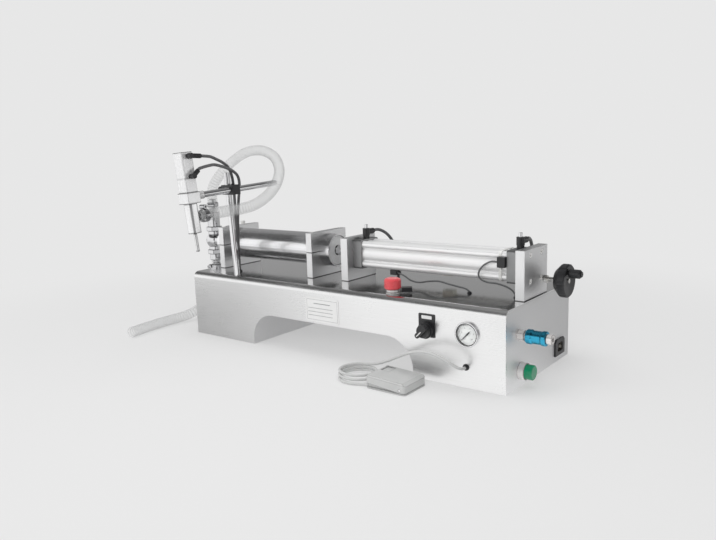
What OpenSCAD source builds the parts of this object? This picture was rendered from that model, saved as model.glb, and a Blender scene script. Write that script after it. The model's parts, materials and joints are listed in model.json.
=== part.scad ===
// Bench-top pneumatic paste filler: a bent steel base with an arched front carries a product cylinder,
// the air cylinder that drives its piston, a check valve with two hoses, a filling nozzle on a stand,
// and a foot pedal on a cable. X runs along the base, Y from the front to the back, Z up.

/* [Base] */
// Length of the base
base_l = 740; // [600:10:900]
// Width of the base, front to back
base_w = 262; // [220:2:320]
// Height of the base
base_h = 136.5; // [120:0.5:160]
// Thickness of the bent sheet
sheet_t = 2; // [1.5:0.1:3]
// Outer radius of the bend along the top edges
bend_r = 12; // [8:0.5:18]
// Distance from the left end to the arch
arch_x = 177; // [150:1:200]
// Length of the arch
arch_l = 390; // [300:5:450]
// Height of the arch
arch_h = 66; // [50:1:80]
// Radius of the arch corners
arch_r = 55; // [30:1:65]
// Thickness of the end panels and of the belly pan
panel_t = 2; // [1:0.1:3]

/* [Product cylinder] */
// Height of the common piston axis above the floor
axis_z = 188; // [184:0.5:200]
// Distance of the piston axis from the front face
axis_y = 119; // [105:1:140]
// Outer diameter of the product tube
tube_od = 66; // [56:1:70]
// Inner diameter of the product tube
tube_id = 60; // [48:1:64]
// Length of the product tube
tube_l = 320; // [290:5:340]
// Overhang of the product tube past the left end of the base
tube_overhang = 6; // [0:1:20]
// Travel of the pistons
stroke = 180; // [100:5:220]
// Thickness of the product piston
piston_l = 24; // [20:1:30]
// Diameter of the piston rod
rod_d = 12; // [10:1:14]

/* [Clamp blocks] */
// Thickness of a clamp block
clamp_t = 14; // [10:1:20]
// Width of a clamp block, front to back
clamp_w = 110; // [100:2:130]
// Height of the clamp block tops above the floor
clamp_top = 227; // [225:1:240]
// Distance of the first clamp block from the left end
clamp_1_x = 16; // [10:1:40]
// Distance of the second clamp block from the left end
clamp_2_x = 275; // [240:1:290]
// Slit between the halves of a clamp block
clamp_slit = 1; // [0.5:0.1:3]
// Spacing of the two screws in a clamp cap
clamp_pitch = 90; // [86:1:96]

/* [Check valve] */
// Distance of the valve axis left of the base
valve_x = 62; // [55:1:80]
// Diameter of the ball-shaped tee
tee_d = 40; // [36:1:46]
// Half the height of the tee between its two seats
tee_half = 22; // [20:0.5:26]
// Diameter of the tee collars and of the neck to the cylinder
neck_d = 28; // [24:1:32]
// Bore of the valve passages
valve_bore = 11; // [8:0.5:13]
// Length of the upper check valve
outlet_l = 44; // [36:1:55]
// Length of the lower check valve
inlet_l = 24; // [20:1:30]
// Length of a hose barb
barb_l = 30; // [24:1:36]

/* [Air cylinder] */
// Thickness of the two mounting plates
plate_t = 16; // [12:1:18]
// Width of the mounting plates
plate_w = 92; // [86:1:110]
// Height of the mounting plate tops above the floor
plate_top = 220; // [218:1:235]
// Distance of the front plate from the left end
front_plate_x = 356.5; // [350:0.5:365]
// Distance of the rear plate from the right end
rear_plate_inset = 19; // [18:0.5:25]
// Side of the square cylinder caps
cap_side = 56; // [54:1:60]
// Length of the front cap
front_cap_l = 20; // [18:1:30]
// Length of the rear cap
rear_cap_l = 24; // [18:1:30]
// Bore of the air cylinder
air_bore = 40; // [36:1:42]
// Diameter of the round part of the barrel profile
barrel_d = 49; // [47:0.5:52]
// Diameter of the four corner ribs of the barrel
rib_d = 14; // [10:0.5:15]
// Distance of each corner rib from the axis, across and up
rib_off = 18.5; // [17:0.5:20]
// Thickness of the air piston
air_piston_l = 20; // [14:1:26]
// Spacing of the four cap screws
bolt_pitch = 44; // [42:0.5:46]

/* [Volume screw] */
// Diameter of the volume screw
screw_d = 8; // [6:0.5:9]
// Distance of the screw behind the piston axis
screw_off_y = 36; // [35:0.5:40]
// Distance of the screw below the piston axis
screw_off_z = 27; // [22:0.5:30]
// Length of bare shaft between the rear plate and the handwheel
shaft_l = 22; // [16:1:34]
// Diameter of the handwheel
wheel_d = 57; // [48:1:60]
// Thickness of the handwheel
wheel_t = 22; // [18:1:26]
// Distance of the crank grip from the wheel centre
grip_r = 14; // [13:0.5:17]
// Diameter of the crank grip
grip_d = 15; // [12:0.5:16]
// Length of the crank grip
grip_l = 20; // [16:1:30]
// Distance of the sensor carriage from the left end
carriage_x = 540; // [500:5:560]
// Travel of the sensor carriage each way
carriage_travel = 80; // [40:5:90]

/* [Front controls] */
// Distance of the emergency stop from the right end
estop_inset = 229; // [200:1:260]
// Distance of the emergency stop behind the front face
estop_y = 25; // [25:0.5:40]
// Diameter of the emergency stop head
estop_d = 30; // [28:1:40]
// Distance of the pressure gauge from the right end
gauge_inset = 67.5; // [50:0.5:80]
// Height of the pressure gauge
gauge_z = 90.5; // [85:0.5:98]
// Diameter of the gauge rim
gauge_d = 42; // [40:0.5:50]
// Distance of the selector from the right end
selector_inset = 143.5; // [135:0.5:155]
// Height of the selector
selector_z = 88; // [84:1:94]
// Width of the selector plate
legend_w = 32; // [30:1:40]
// Height of the selector plate
legend_h = 40; // [36:1:48]
// Distance of the cable gland from the right end
gland_inset = 70; // [50:1:90]
// Height of the cable gland
gland_z = 35; // [28:1:42]

/* [Right panel] */
// Distance of the air coupler from the front face
coupler_y = 47; // [40:1:60]
// Height of the air coupler
coupler_z = 88; // [75:1:100]
// Diameter of the coupler sleeve
sleeve_d = 24; // [22:0.5:26]
// Distance of the power button from the front face
power_y = 55; // [44:1:64]
// Height of the power button
power_z = 26; // [22:1:35]
// Diameter of the power button rim
power_d = 29.5; // [28:0.5:34]
// Distance of the mains inlet from the front face
inlet_y = 217; // [200:1:225]
// Height of the mains inlet
inlet_z = 26; // [22:1:35]
// Width of the mains inlet flange
inlet_w = 42; // [38:1:48]
// Height of the mains inlet flange
inlet_h = 30; // [26:1:34]

/* [Nozzle stand] */
// Distance of the stand rod from the left end
stand_x = 121; // [100:1:140]
// Distance of the stand rod from the front face
stand_y = 16; // [16:1:26]
// Forward lean of the loaded stand, in degrees
stand_lean = 3; // [0:0.5:5]
// Diameter of the stand rod and of the arm
stand_d = 12; // [8:0.5:14]
// Length of the stand rod above the deck
stand_h = 214; // [200:1:260]
// Height of the cross clamp above the deck
cross_h = 180; // [160:1:190]
// Distance between the stand rod and the arm
cross_off = 15; // [15:0.5:20]
// Reach of the arm in front of the stand rod
arm_front = 92; // [85:1:110]
// Length of the arm behind the stand rod
arm_back = 122; // [80:1:130]
// Travel of the cross clamp up and down the rod
nozzle_travel = 20; // [10:1:24]

/* [Filling nozzle] */
// Distance of the nozzle axis in front of the stand rod
nozzle_reach = 113; // [111:1:130]
// Turn of the nozzle about the arm, in degrees
nozzle_roll = -4; // [-8:0.5:0]
// Side of the square nozzle actuator
actuator_w = 26; // [24:1:32]
// Height of the nozzle actuator
actuator_h = 76; // [60:1:90]
// Side of the square nozzle holder
holder_w = 31; // [30:1:36]
// Height of the nozzle holder above the arm axis
holder_up = 8; // [8:0.5:12]
// Height of the nozzle holder below the arm axis
holder_down = 13; // [12:0.5:16]
// Diameter of the nozzle body
nozzle_d = 25; // [24:1:30]
// Length of the nozzle body
nozzle_l = 57; // [50:1:65]
// Outer diameter of the nozzle tip
tip_d = 7; // [6:0.5:9]
// Inner diameter of the nozzle tip
tip_bore = 4.5; // [3:0.5:5]
// Length of the nozzle tip
tip_l = 36; // [25:1:50]
// Lift of the nozzle plunger
plunger_lift = 10; // [5:1:14]

/* [Foot pedal] */
// Distance of the pedal from the left end of the base
pedal_x = 530; // [520:1:560]
// Distance of the pedal front before the front face
pedal_y = 88; // [86:1:100]
// Length of the pedal
pedal_l = 78; // [74:1:90]
// Width of the pedal
pedal_w = 64; // [60:1:70]
// Height of the raised end of the treadle
pedal_h = 22.5; // [21:0.5:28]
// Height of the hinged end of the treadle
pedal_low = 19; // [16:0.5:20]
// Wall of the pedal base and treadle
pedal_wall = 2.5; // [2:0.1:3]
// Diameter of the pedal pin
pin_d = 4; // [3:0.5:5]
// Press of the treadle, in degrees
treadle_press = 4; // [2:0.5:5]

/* [Hoses and cables] */
// Outer diameter of the product and suction hoses
hose_d = 24; // [22:0.5:26]
// Inner diameter of the product and suction hoses
hose_id = 17; // [15:0.5:18]
// Outer diameter of the air tubes
air_tube_d = 6; // [4:0.5:6]
// Outer diameter of the sensor cables
sensor_cable_d = 3; // [2:0.5:4]
// Outer diameter of the pedal cable
pedal_cable_d = 5; // [4.5:0.5:5]
// Half axis of the oval loops in the pedal cable, along their growth
coil_rx = 27; // [25:1:34]
// Half axis of the oval loops in the pedal cable, across their growth
coil_ry = 32; // [30:1:36]
// Whole turns of the pedal cable loops
coil_turns = 2; // [1:1:3]
// Rise of the pedal cable loops, from layer to layer
coil_pitch = 5.6; // [5.5:0.1:9]
// Growth of the pedal cable loops to the front, from layer to layer
coil_spread = 5; // [0:0.5:8]

/* [Fits] */
// Radial clearance of pistons, shafts and pins that run in a bore
run_fit = 0.05; // [0.02:0.01:0.1]
// Clearance round pieces that are seated or bolted
seat_fit = 0.2; // [0.1:0.05:0.4]
// Clearance round pieces that move past a neighbour
free_fit = 0.5; // [0.3:0.1:1]

/* [Hidden] */
$fn = 64;

// Overlap that lets a cut pass right through a wall
cut = 1;

// Colours
satin_steel = [0.74, 0.74, 0.75];
bright_steel = [0.82, 0.83, 0.84];
aluminium = [0.9, 0.9, 0.91];
cast_grey = [0.42, 0.42, 0.43];
black_plastic = [0.1, 0.1, 0.1];
grey_plastic = [0.68, 0.68, 0.7];
clear_hose = [0.88, 0.9, 0.9, 0.6];

// Metric screws: shank, clearance hole, head and head height
screw_shank = 6;
screw_hole = screw_shank + 2 * seat_fit;
screw_head = 10;
screw_head_h = 6;
socket_d = 5.8;
clamp_grip = 22;

// Product side along the axis
tube_x0 = -tube_overhang;
tube_x1 = tube_x0 + tube_l;
clamp_bore = tube_od + 2 * run_fit;
thumb_off = 13;
thumb_head_h = 8;
head_flange_d = tube_od + 6;
head_flange_l = 8;
head_spigot_l = 10;
neck_joint_x = -(valve_x + tube_overhang) / 2;
piston_x = tube_x1 - piston_l - 2;
piston_d = tube_id - 2 * run_fit;
seal_w = 4;
seal_depth = 3;
seal_inset = 5;
stud_d = 10;
rod_nut_l = 12;
rod_nut_d = 20;

// Check valve, from the axis up and down
outlet_seat_z = axis_z + tee_half;
outlet_barb_z = outlet_seat_z + outlet_l;
inlet_seat_z = axis_z - tee_half;
inlet_barb_z = inlet_seat_z - inlet_l;
hex_l = 10;
hex_d = neck_d + 8;
barb_d = hose_id - 2 * seat_fit;
barb_teeth = 4;
hose_stop = 2;
band_w = 9;
band_t = 1;
worm_d = 9;
worm_l = 14;
outlet_turn = 128;
inlet_turn = 38;

// Air side along the axis
rear_plate_x = base_l - rear_plate_inset;
front_cap_x = front_plate_x + plate_t;
barrel_x = front_cap_x + front_cap_l;
rear_cap_x = rear_plate_x - rear_cap_l;
barrel_l = rear_cap_x - barrel_x;
air_piston_x = rear_cap_x - air_piston_l - 2;
air_piston_d = air_bore - 2 * run_fit;
rod_x0 = piston_x + piston_l;
bolt_grip = 8;
spigot_l = 4;
cap_corner_r = 4;
control_d = 14;
port_x = [barrel_x - control_d / 2, rear_cap_x + rear_cap_l / 2];
port_z = axis_z + cap_side / 2;
control_hex_l = 6;
control_h = 14;
control_reach = 22;
control_collar_d = 11;
control_z = port_z + control_hex_l + control_h / 2;
knob_d = 6;
knob_h = 7;
knob_stem_d = 4;
knob_stem_l = 8;
reed_x = [456, rear_cap_x - 15];
reed_l = 14;
reed_h = 8;
reed_w = [9, 18];
reed_y = [axis_y - rib_off - reed_h / 2, axis_y - rib_off - rib_d / 2 - seat_fit - reed_h];
reed_z = [-rib_off - rib_d / 2 - seat_fit - reed_w[0], -1];
strap_w = 5;

// Volume screw
screw_y = axis_y + screw_off_y;
screw_z = axis_z - screw_off_z;
wheel_x = rear_plate_x + plate_t + shaft_l;
screw_tip = 8;
collar_d = screw_d + 5;
collar_l = 5;
hub_d = 20;
wheel_face_d = 36;
wheel_cone = 9;
rim_edge = 2;
scallop_count = 7;
scallop_d = 16;
scallop_depth = 1.6;
grip_angle = 105;
spindle_d = 6;
spindle_cap_d = 9;
spindle_cap_l = 1.5;
carriage_l = 22;
carriage_w = 16;
carriage_below = 10;
carriage_above = 11;
finger_w = 5;
finger_h = 26;
barrel_gap = 1;

// Emergency stop
estop_x = base_l - estop_inset;
panel_hole = 22;
panel_neck = panel_hole - 2 * seat_fit;
estop_rim_d = 25;
estop_rim_h = 3;
estop_neck_h = 5;
estop_stem_d = 14;
estop_travel = 4;
estop_head_h = 19;
estop_tab_l = 34;
estop_tab_w = 12;
estop_tab_t = 1.5;
estop_lug_h = 8;
estop_tab_turn = 35;
estop_skirt = 4;
switch_depth = 30;

// Selector and gauge
selector_x = base_l - selector_inset;
gauge_x = base_l - gauge_inset;
legend_t = 1;
legend_up = 7.5;
legend_z = selector_z + legend_up;
selector_rim_d = 28;
selector_rim_h = 7;
selector_stem_d = 10;
knob_round_d = 24;
knob_base_h = 8;
lever_w = 9;
lever_l = 26;
lever_h = 13;
lever_angle = 45;
gauge_body_d = 38;
gauge_depth = 24;
gauge_front = 4;
gauge_rim = 3;
dial_in = 5;
needle_t = 0.8;
needle_w = 2.4;
needle_l = 15;
needle_tail = 6;
needle_angle = 225;
hub_pin_d = 3;

// Right panel
coupler_nut_l = 11;
coupler_nut_d = 19;
coupler_core_d = 13;
coupler_l = 57;
coupler_end_d = 16;
coupler_end_l = 9;
sleeve_l = 33;
sleeve_travel = 3;
coupler_hole = 14;
power_rim_h = 11;
power_cap_d = 25;
power_cap_h = 13;
power_travel = 4;
power_stem_d = 10;
inlet_t = 3;
inlet_depth = 24;
inlet_body_w = 28;
inlet_body_h = 22;
inlet_slot_w = 23;
inlet_slot_h = 16;
inlet_slot_d = 14;
inlet_corner = 5;
contact_pitch = 7;
contact_w = 2;
contact_h = 5;

// Cable gland and deck grommets, as X, Y and cable diameter
gland_x = base_l - gland_inset;
gland_nut_d = 11;
gland_nut_l = 1.5;
gland_dome_d = 9.5;
gland_dome_l = 2.5;
gland_thread_d = 8.5;
gland_tail = 10;
grommets = [
  [628, 90, sensor_cable_d], [rear_plate_x - 9, 96, sensor_cable_d],
  [404, 200, air_tube_d], [rear_plate_x - 26, 200, air_tube_d],
  [90, 52, air_tube_d], [98, 42, air_tube_d]
];
grommet_wall = 1.5;
grommet_lip = 1.5;
grommet_h = 3;

// Stand: the cross clamp and the nozzle lie in the leaning frame of the rod foot
stand_root = 14;
stand_nut_d = 18;
stand_nut_l = 8;
stand_nut_gap = 4;
cross_wall = 3.5;
cross_half_w = 10;
cross_half_h = 9.5;
cross_screw_d = 6;
cross_screw_l = 3;
cross_knob_d = 12;
cross_knob_l = 12;
arm_socket = 14;

// Nozzle, measured from the arm axis along the nozzle axis
body_top = -holder_down;
body_bottom = body_top - nozzle_l;
barb_rise = 30;
barb_z = body_bottom + barb_rise;
nozzle_chamber = 16;
chamber_floor = 8;
plunger_d = 6;
seat_d = tip_bore + 2;
seat_l = 4;
act_bore = 20;
act_floor = 10;
act_piston_l = 8;
guide_d = plunger_d + 2 * run_fit;
fitting_d = 10;
fitting_l = [16, 24];
fitting_stub_d = 8;
fitting_stub_l = 4;
fitting_z = [holder_up + 30, holder_up + actuator_h - 8];
actuator_r = 2;
seam_z = 26;
seam_w = 1;
seam_d = 0.8;
fitting_tilt = [35, -6];

// Pedal
pedal_corner_r = 6;
treadle_toe_l = 6;
treadle_toe_h = 4;
treadle_bevel = 2.5;
pedal_base_h = 9;
pedal_floor = 2.5;
pin_x = pedal_x + pedal_l - 11;
pin_z = 7.3;
skirt_gap = 0.6;
lug_w = 6;
recess_l = 16;
recess_w = 22;
recess_d = 1.5;
recess_in = 6;
pedal_entry_d = 10;
pedal_entry_l = 5;

// Size of the whole, without hoses and cables, so that the origin is below its middle
function stand_point(p) =
  [stand_x + p[0],
   stand_y + p[1] * cos(stand_lean) - p[2] * sin(stand_lean),
   base_h + p[1] * sin(stand_lean) + p[2] * cos(stand_lean)];
function nozzle_point(p) = stand_point(
  [cross_off + p[0] * cos(nozzle_roll) + p[2] * sin(nozzle_roll),
   p[1] - nozzle_reach,
   cross_h - p[0] * sin(nozzle_roll) + p[2] * cos(nozzle_roll)]);
worm_r = hose_d / 2 + seat_fit + worm_d / 2;
left_reach = valve_x + (worm_r + worm_d / 2) * cos(inlet_turn) + worm_l / 2 * sin(inlet_turn);
right_reach = wheel_x + wheel_t + 2 * free_fit + grip_l + spindle_cap_l;
front_reach = nozzle_point([actuator_w / 2, -actuator_w / 2, holder_up + actuator_h])[1];
mid_x = (right_reach - left_reach) / 2;
mid_y = (front_reach + base_w) / 2;

// Routes of the hoses and cables
function fitting_point(i, l) = nozzle_point(
  [actuator_w / 2 + fitting_stub_l + fitting_d / 2, l * cos(fitting_tilt[i]), fitting_z[i] + l * sin(fitting_tilt[i])]);
function fitting_way(i) = unit(fitting_point(i, 1) - fitting_point(i, 0));
barb_way = unit(nozzle_point([0, 1, 0]) - nozzle_point([0, 0, 0]));
nozzle_barb_root = nozzle_d / 2 - 1;
barb_start = nozzle_d / 2 + hose_stop;
product_route = concat(
  [nozzle_point([0, barb_start, barb_z]), nozzle_point([0, barb_start + barb_l, barb_z])],
  [[139.5, -22, 275], [147.4, 12.8, 276.9], [154.2, 42.1, 282], [158.1, 67.3, 292.1], [159.5, 91, 306.7],
   [154.5, 115.9, 326.6], [137.4, 141.4, 352.5], [103.7, 161, 377.9], [57.9, 167.7, 392.1], [13.3, 162.3, 388.2],
   [-22.6, 149.1, 366.4], [-45.1, 132.9, 339.3], [-57.6, 121.9, 315.1]],
  [[-valve_x, axis_y, outlet_barb_z + barb_l + 12], [-valve_x, axis_y, outlet_barb_z + barb_l - 6],
   [-valve_x, axis_y, outlet_barb_z + hose_stop]]);
suction_route = concat(
  [[-valve_x, axis_y, inlet_barb_z - hose_stop], [-valve_x, axis_y, inlet_barb_z - barb_l + 8],
   [-valve_x, axis_y, inlet_barb_z - barb_l]],
  [[-64.6, 115.6, 90], [-71, 107, 66], [-81, 94, 42], [-92, 74, 24], [-102, 48, 14.5], [-107, 18, 12.6],
   [-106, -14, 12.4], [-102, -46, 12.4], [-97, -76, 12.4], [-91, -108, 12.4]]);
upper_tube_route = concat(
  [fitting_point(1, fitting_l[1]), fitting_point(1, fitting_l[1] + air_tube_d)],
  [[148, -58, 384], [141, -36, 378], [132, -13, 371], [121, 11, 360], [112, 27, 340], [106, 35, 314], [102, 39, 284],
   [99, 41, 254], [98, 42, 220], [98, 42, 190], [98, 42, 165]],
  [[grommets[5][0], grommets[5][1], base_h + grommet_h]]);
lower_tube_route = concat(
  [fitting_point(0, fitting_l[0]), fitting_point(0, fitting_l[0] + air_tube_d)],
  [[149, -66, 367], [143, -44, 368], [135, -16, 363], [126, 14, 355], [117, 38, 342], [110, 48, 322], [104, 49, 295],
   [98, 50, 265], [94, 51, 235], [91, 52, 205], [90, 52, 170]],
  [[grommets[4][0], grommets[4][1], base_h + grommet_h]]);
front_air_route = concat(
  [[port_x[0], axis_y + control_reach, control_z]],
  [[388, 151, 230], [390, 163, 227], [394, 176, 219], [398, 187, 206], [402, 195, 188], [404, 199, 166]],
  [[grommets[2][0], grommets[2][1], base_h + grommet_h]]);
rear_air_route = concat(
  [[port_x[1], axis_y + control_reach, control_z]],
  [for (p = [[-13, 151, 230], [-15, 163, 227], [-18, 176, 219], [-21, 187, 206], [-24, 195, 188], [-26, 199, 166]])
    p + [rear_plate_x, 0, 0]],
  [[grommets[3][0], grommets[3][1], base_h + grommet_h]]);
front_sensor_route = concat(
  [[reed_x[0] + reed_l, reed_y[0] + reed_h / 2, axis_z + reed_z[0] + reed_w[0] / 2]],
  [[480, 96, 157], [492, 93, 154], [506, 91, 148], [524, 90, 146], [546, 90, 150], [566, 90, 152], [586, 90, 149],
   [606, 90, 146], [620, 90, 144]],
  [[grommets[0][0], grommets[0][1], base_h + grommet_h]]);
rear_sensor_route = concat(
  [[reed_x[1], reed_y[1] + reed_h / 2, axis_z + reed_z[1] + reed_w[1] / 2]],
  [for (p = [[-51, 87, 196], [-65, 87, 188], [-74, 88, 176], [-73, 90, 165], [-61, 92, 159], [-43, 93, 158],
    [-26, 94, 154], [-15, 95, 148]]) p + [rear_plate_x, 0, 0]],
  [[grommets[1][0], grommets[1][1], base_h + grommet_h]]);
gland_end = -(gland_nut_l + gland_dome_l);
coil_off = [-42, -53];
coil_centre = [pedal_x + coil_off[0], coil_off[1]];
coil_turn = 128;
coil_start = -45;
coil_part = 165;
coil_end = coil_part + 360 * coil_turns;
coil_rise = coil_pitch * (coil_end - coil_start) / 360;
coil_low = pedal_cable_d / 2 + seat_fit;
function coil_grow(a) = coil_spread / 2 * (a - coil_start) / 360;
function coil_along(a) = (coil_rx + coil_grow(a)) * cos(a) - coil_grow(a);
function coil_point(a) =
  [coil_centre[0] + coil_along(a) * cos(coil_turn) - coil_ry * sin(a) * sin(coil_turn),
   coil_centre[1] + coil_along(a) * sin(coil_turn) + coil_ry * sin(a) * cos(coil_turn),
   coil_low + coil_rise * (coil_end - a) / (coil_end - coil_start)];
pedal_cable_route = concat(
  [[gland_x, gland_end, gland_z], [gland_x, gland_end - pedal_cable_d, gland_z]],
  [for (p = [[-1, -17, 37], [-4, -24.5, 41], [-9.5, -30, 46.3], [-18, -33.5, 51.8], [-30, -35.3, 57],
    [-44, -36, 60.5], [-60, -36, 61], [-78, -35.5, 57.5]]) p + [gland_x, 0, 0]],
  [for (p = [[44, -34.5, 50.8], [25.7, -33, 41.8], [8, -31, 33], [-8, -29, 26], [-22, -27, 21]]) p + [pedal_x, 0, 0]],
  [coil_point(coil_start)]);
coil_way = unit(coil_point(coil_start + 1) - coil_point(coil_start - 1));

// Curves: a smooth line through points, and a round tube swept along it
function between(a, b, c, d, t) =
  0.5 * (2 * b + (c - a) * t + (2 * a - 5 * b + 4 * c - d) * t * t + (3 * b - a - 3 * c + d) * t * t * t);
function before(p, i) = i > 0 ? p[i - 1] : 2 * p[0] - p[1];
function after(p, i) = i + 2 < len(p) ? p[i + 2] : 2 * p[i + 1] - p[i];
function smooth(p, n) = [
  for (i = [0 : len(p) - 2]) for (k = [0 : n - 1]) between(before(p, i), p[i], p[i + 1], after(p, i), k / n),
  p[len(p) - 1]];
function unit(v) = v / norm(v);
function tangent(p, i) = unit(p[min(i + 1, len(p) - 1)] - p[max(i - 1, 0)]);
function square_to(v, t) = unit(v - (v * t) * t);
function first_side(t) = square_to(abs(t[2]) < 0.9 ? [0, 0, 1] : [1, 0, 0], t);
function sides(ways, i, v) = i == len(ways) ? [] : let (w = square_to(v, ways[i])) concat([w], sides(ways, i + 1, w));
function route_length(p) = [for (i = [1 : len(p) - 1]) norm(p[i] - p[i - 1])] * [for (i = [1 : len(p) - 1]) 1];

// The end rings of a tube may be turned square to the faces that they meet
module tube(path, d, n, first, last) {
  rings = len(path);
  ways = [for (i = [0 : rings - 1]) i == 0 && !is_undef(first) ? first
    : i == rings - 1 && !is_undef(last) ? last : tangent(path, i)];
  v = sides(ways, 0, first_side(ways[0]));
  points = [for (i = [0 : rings - 1]) let (w = cross(ways[i], v[i]))
    for (k = [0 : n - 1]) path[i] + d / 2 * (cos(360 * k / n) * v[i] + sin(360 * k / n) * w)];
  skin = [for (i = [0 : rings - 2]) for (k = [0 : n - 1])
    let (a = i * n + k, b = i * n + (k + 1) % n)
    each [[a, a + n, b], [b, a + n, b + n]]];
  caps = [for (k = [1 : n - 2]) each [[0, k, k + 1],
    [(rings - 1) * n, (rings - 1) * n + k + 1, (rings - 1) * n + k]]];
  polyhedron(points = points, faces = concat(skin, caps));
}

// Outlines and turned shapes
module rounded_top(w, h, r) {
  square([w, h - r]);
  translate([r, 0]) square([w - 2 * r, h]);
  intersection() {
    for (x = [r, w - r]) translate([x, h - r]) circle(r);
    square([w, h]);
  }
}

module rounded_square(w, h, r) {
  square([w, h - 2 * r], center = true);
  square([w - 2 * r, h], center = true);
  for (x = [-1, 1], y = [-1, 1]) translate([x * (w / 2 - r), y * (h / 2 - r)]) circle(r);
}

module along_x(l) { rotate([90, 0, 90]) linear_extrude(l) children(); }
module along_y(l) { translate([0, l, 0]) rotate([90, 0, 0]) linear_extrude(l) children(); }
module rod_x(d, l) { rotate([0, 90, 0]) cylinder(d = d, h = l); }
module rod_y(d, l) { rotate([-90, 0, 0]) cylinder(d = d, h = l); }
module outward_y() { rotate([90, 0, 0]) children(); }
module outward_x() { rotate([0, 90, 0]) children(); }
module on_axis(x) { translate([x, axis_y, axis_z]) children(); }
module on_stand() { translate([stand_x, stand_y, base_h]) rotate([stand_lean, 0, 0]) children(); }
module on_nozzle() {
  on_stand() translate([cross_off, -nozzle_reach, cross_h]) rotate([0, nozzle_roll, 0]) children();
}
module placed() { translate([-mid_x, -mid_y, 0]) children(); }
module at_bolts(pitch) {
  for (y = [-1, 1], z = [-1, 1]) translate([0, y * pitch / 2, z * pitch / 2]) children();
}
module at_clamps() { for (x = [clamp_1_x, clamp_2_x]) translate([x, axis_y, 0]) children(); }
module at_clamp_screws() {
  at_clamps() for (y = [-1, 1]) translate([clamp_t / 2, y * clamp_pitch / 2, 0]) children();
}

module hose_barb(d, l) {
  step = l / barb_teeth;
  for (i = [0 : barb_teeth - 1]) translate([0, 0, i * step]) cylinder(d1 = d, d2 = d - 2, h = step);
}

module socket_screw(l) {
  translate([0, 0, -l]) cylinder(d = screw_shank, h = l);
  difference() {
    cylinder(d = screw_head, h = screw_head_h);
    translate([0, 0, screw_head_h / 2]) cylinder(d = socket_d, h = screw_head_h, $fn = 6);
  }
}

module hose_band() {
  r = hose_d / 2 + seat_fit;
  difference() {
    union() {
      cylinder(r = r + band_t, h = band_w, center = true);
      translate([-r - worm_d / 2, 0, 0]) rotate([90, 0, 0]) cylinder(d = worm_d, h = worm_l, center = true);
    }
    cylinder(r = r, h = 2 * band_w, center = true);
    translate([-r - worm_d / 2, -worm_l / 2 + 2, 0]) rotate([90, 0, 0]) cylinder(d = 4, h = worm_l);
  }
}

// Base
module base_housing() color(satin_steel) difference() {
  along_x(base_l) difference() {
    rounded_top(base_w, base_h, bend_r);
    translate([sheet_t, -cut]) rounded_top(base_w - 2 * sheet_t, base_h - sheet_t + cut, bend_r - sheet_t);
  }
  translate([arch_x, -cut, -cut]) along_y(base_w + 2 * cut) rounded_top(arch_l, arch_h + cut, arch_r);
  front_hole(gauge_x, gauge_z, gauge_body_d + 2 * seat_fit);
  front_hole(selector_x, selector_z, panel_hole);
  front_hole(gland_x, gland_z, gland_thread_d + 2 * seat_fit);
  deck_hole(estop_x, estop_y, panel_hole);
  deck_hole(stand_x, stand_y, stand_d + 2 * free_fit);
  for (g = grommets) deck_hole(g[0], g[1], g[2] + 2 * grommet_wall);
}

module front_hole(x, z, d) { translate([x, -cut, z]) rod_y(d, sheet_t + 2 * cut); }

module deck_hole(x, y, d) {
  translate([x, y, base_h - sheet_t - cut]) cylinder(d = d, h = sheet_t + 2 * cut);
}

module end_panel() {
  gap = sheet_t + seat_fit;
  translate([0, gap, 0]) along_x(panel_t) rounded_top(base_w - 2 * gap, base_h - gap, bend_r - sheet_t);
}

module left_end_panel() color(satin_steel) end_panel();

module right_end_panel() color(satin_steel) difference() {
  translate([base_l - panel_t, 0, 0]) end_panel();
  right_hole(coupler_y, coupler_z) rod_x(coupler_hole, panel_t + 2 * cut);
  right_hole(power_y, power_z) rod_x(panel_hole, panel_t + 2 * cut);
  right_hole(inlet_y, inlet_z) along_x(panel_t + 2 * cut)
    square([inlet_body_w + 2 * seat_fit, inlet_body_h + 2 * seat_fit], center = true);
}

module right_hole(y, z) { translate([base_l - panel_t - cut, y, z]) children(); }

module belly_pan() color(satin_steel) {
  gap = sheet_t + seat_fit;
  inset = panel_t + seat_fit;
  translate([0, gap, 0]) along_y(base_w - 2 * gap) difference() {
    union() {
      translate([inset, 0]) square([base_l - 2 * inset, panel_t]);
      translate([arch_x - panel_t, 0]) rounded_top(arch_l + 2 * panel_t, arch_h + panel_t, arch_r + panel_t);
    }
    translate([arch_x, -cut]) rounded_top(arch_l, arch_h + cut, arch_r);
  }
}

// Clamp blocks and their screws
module clamp_bases() color(bright_steel) difference() {
  at_clamps() translate([0, -clamp_w / 2, base_h])
    cube([clamp_t, clamp_w, axis_z - clamp_slit / 2 - base_h]);
  on_axis(tube_x0) rod_x(clamp_bore, tube_l);
  at_clamp_screws() translate([0, 0, axis_z - 24]) cylinder(d = screw_hole, h = 30);
}

module clamp_caps() color(bright_steel) difference() {
  at_clamps() translate([0, -clamp_w / 2, axis_z + clamp_slit / 2])
    cube([clamp_t, clamp_w, clamp_top - axis_z - clamp_slit / 2]);
  on_axis(tube_x0) rod_x(clamp_bore, tube_l);
  at_clamp_screws() {
    translate([0, 0, axis_z]) cylinder(d = screw_hole, h = clamp_top - axis_z + cut);
    translate([0, 0, clamp_top - screw_head_h]) cylinder(d = screw_head + 2 * seat_fit, h = screw_head_h + cut);
  }
  translate([clamp_1_x + clamp_t / 2, axis_y + thumb_off, axis_z])
    cylinder(d = screw_hole, h = clamp_top - axis_z + cut);
}

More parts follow.
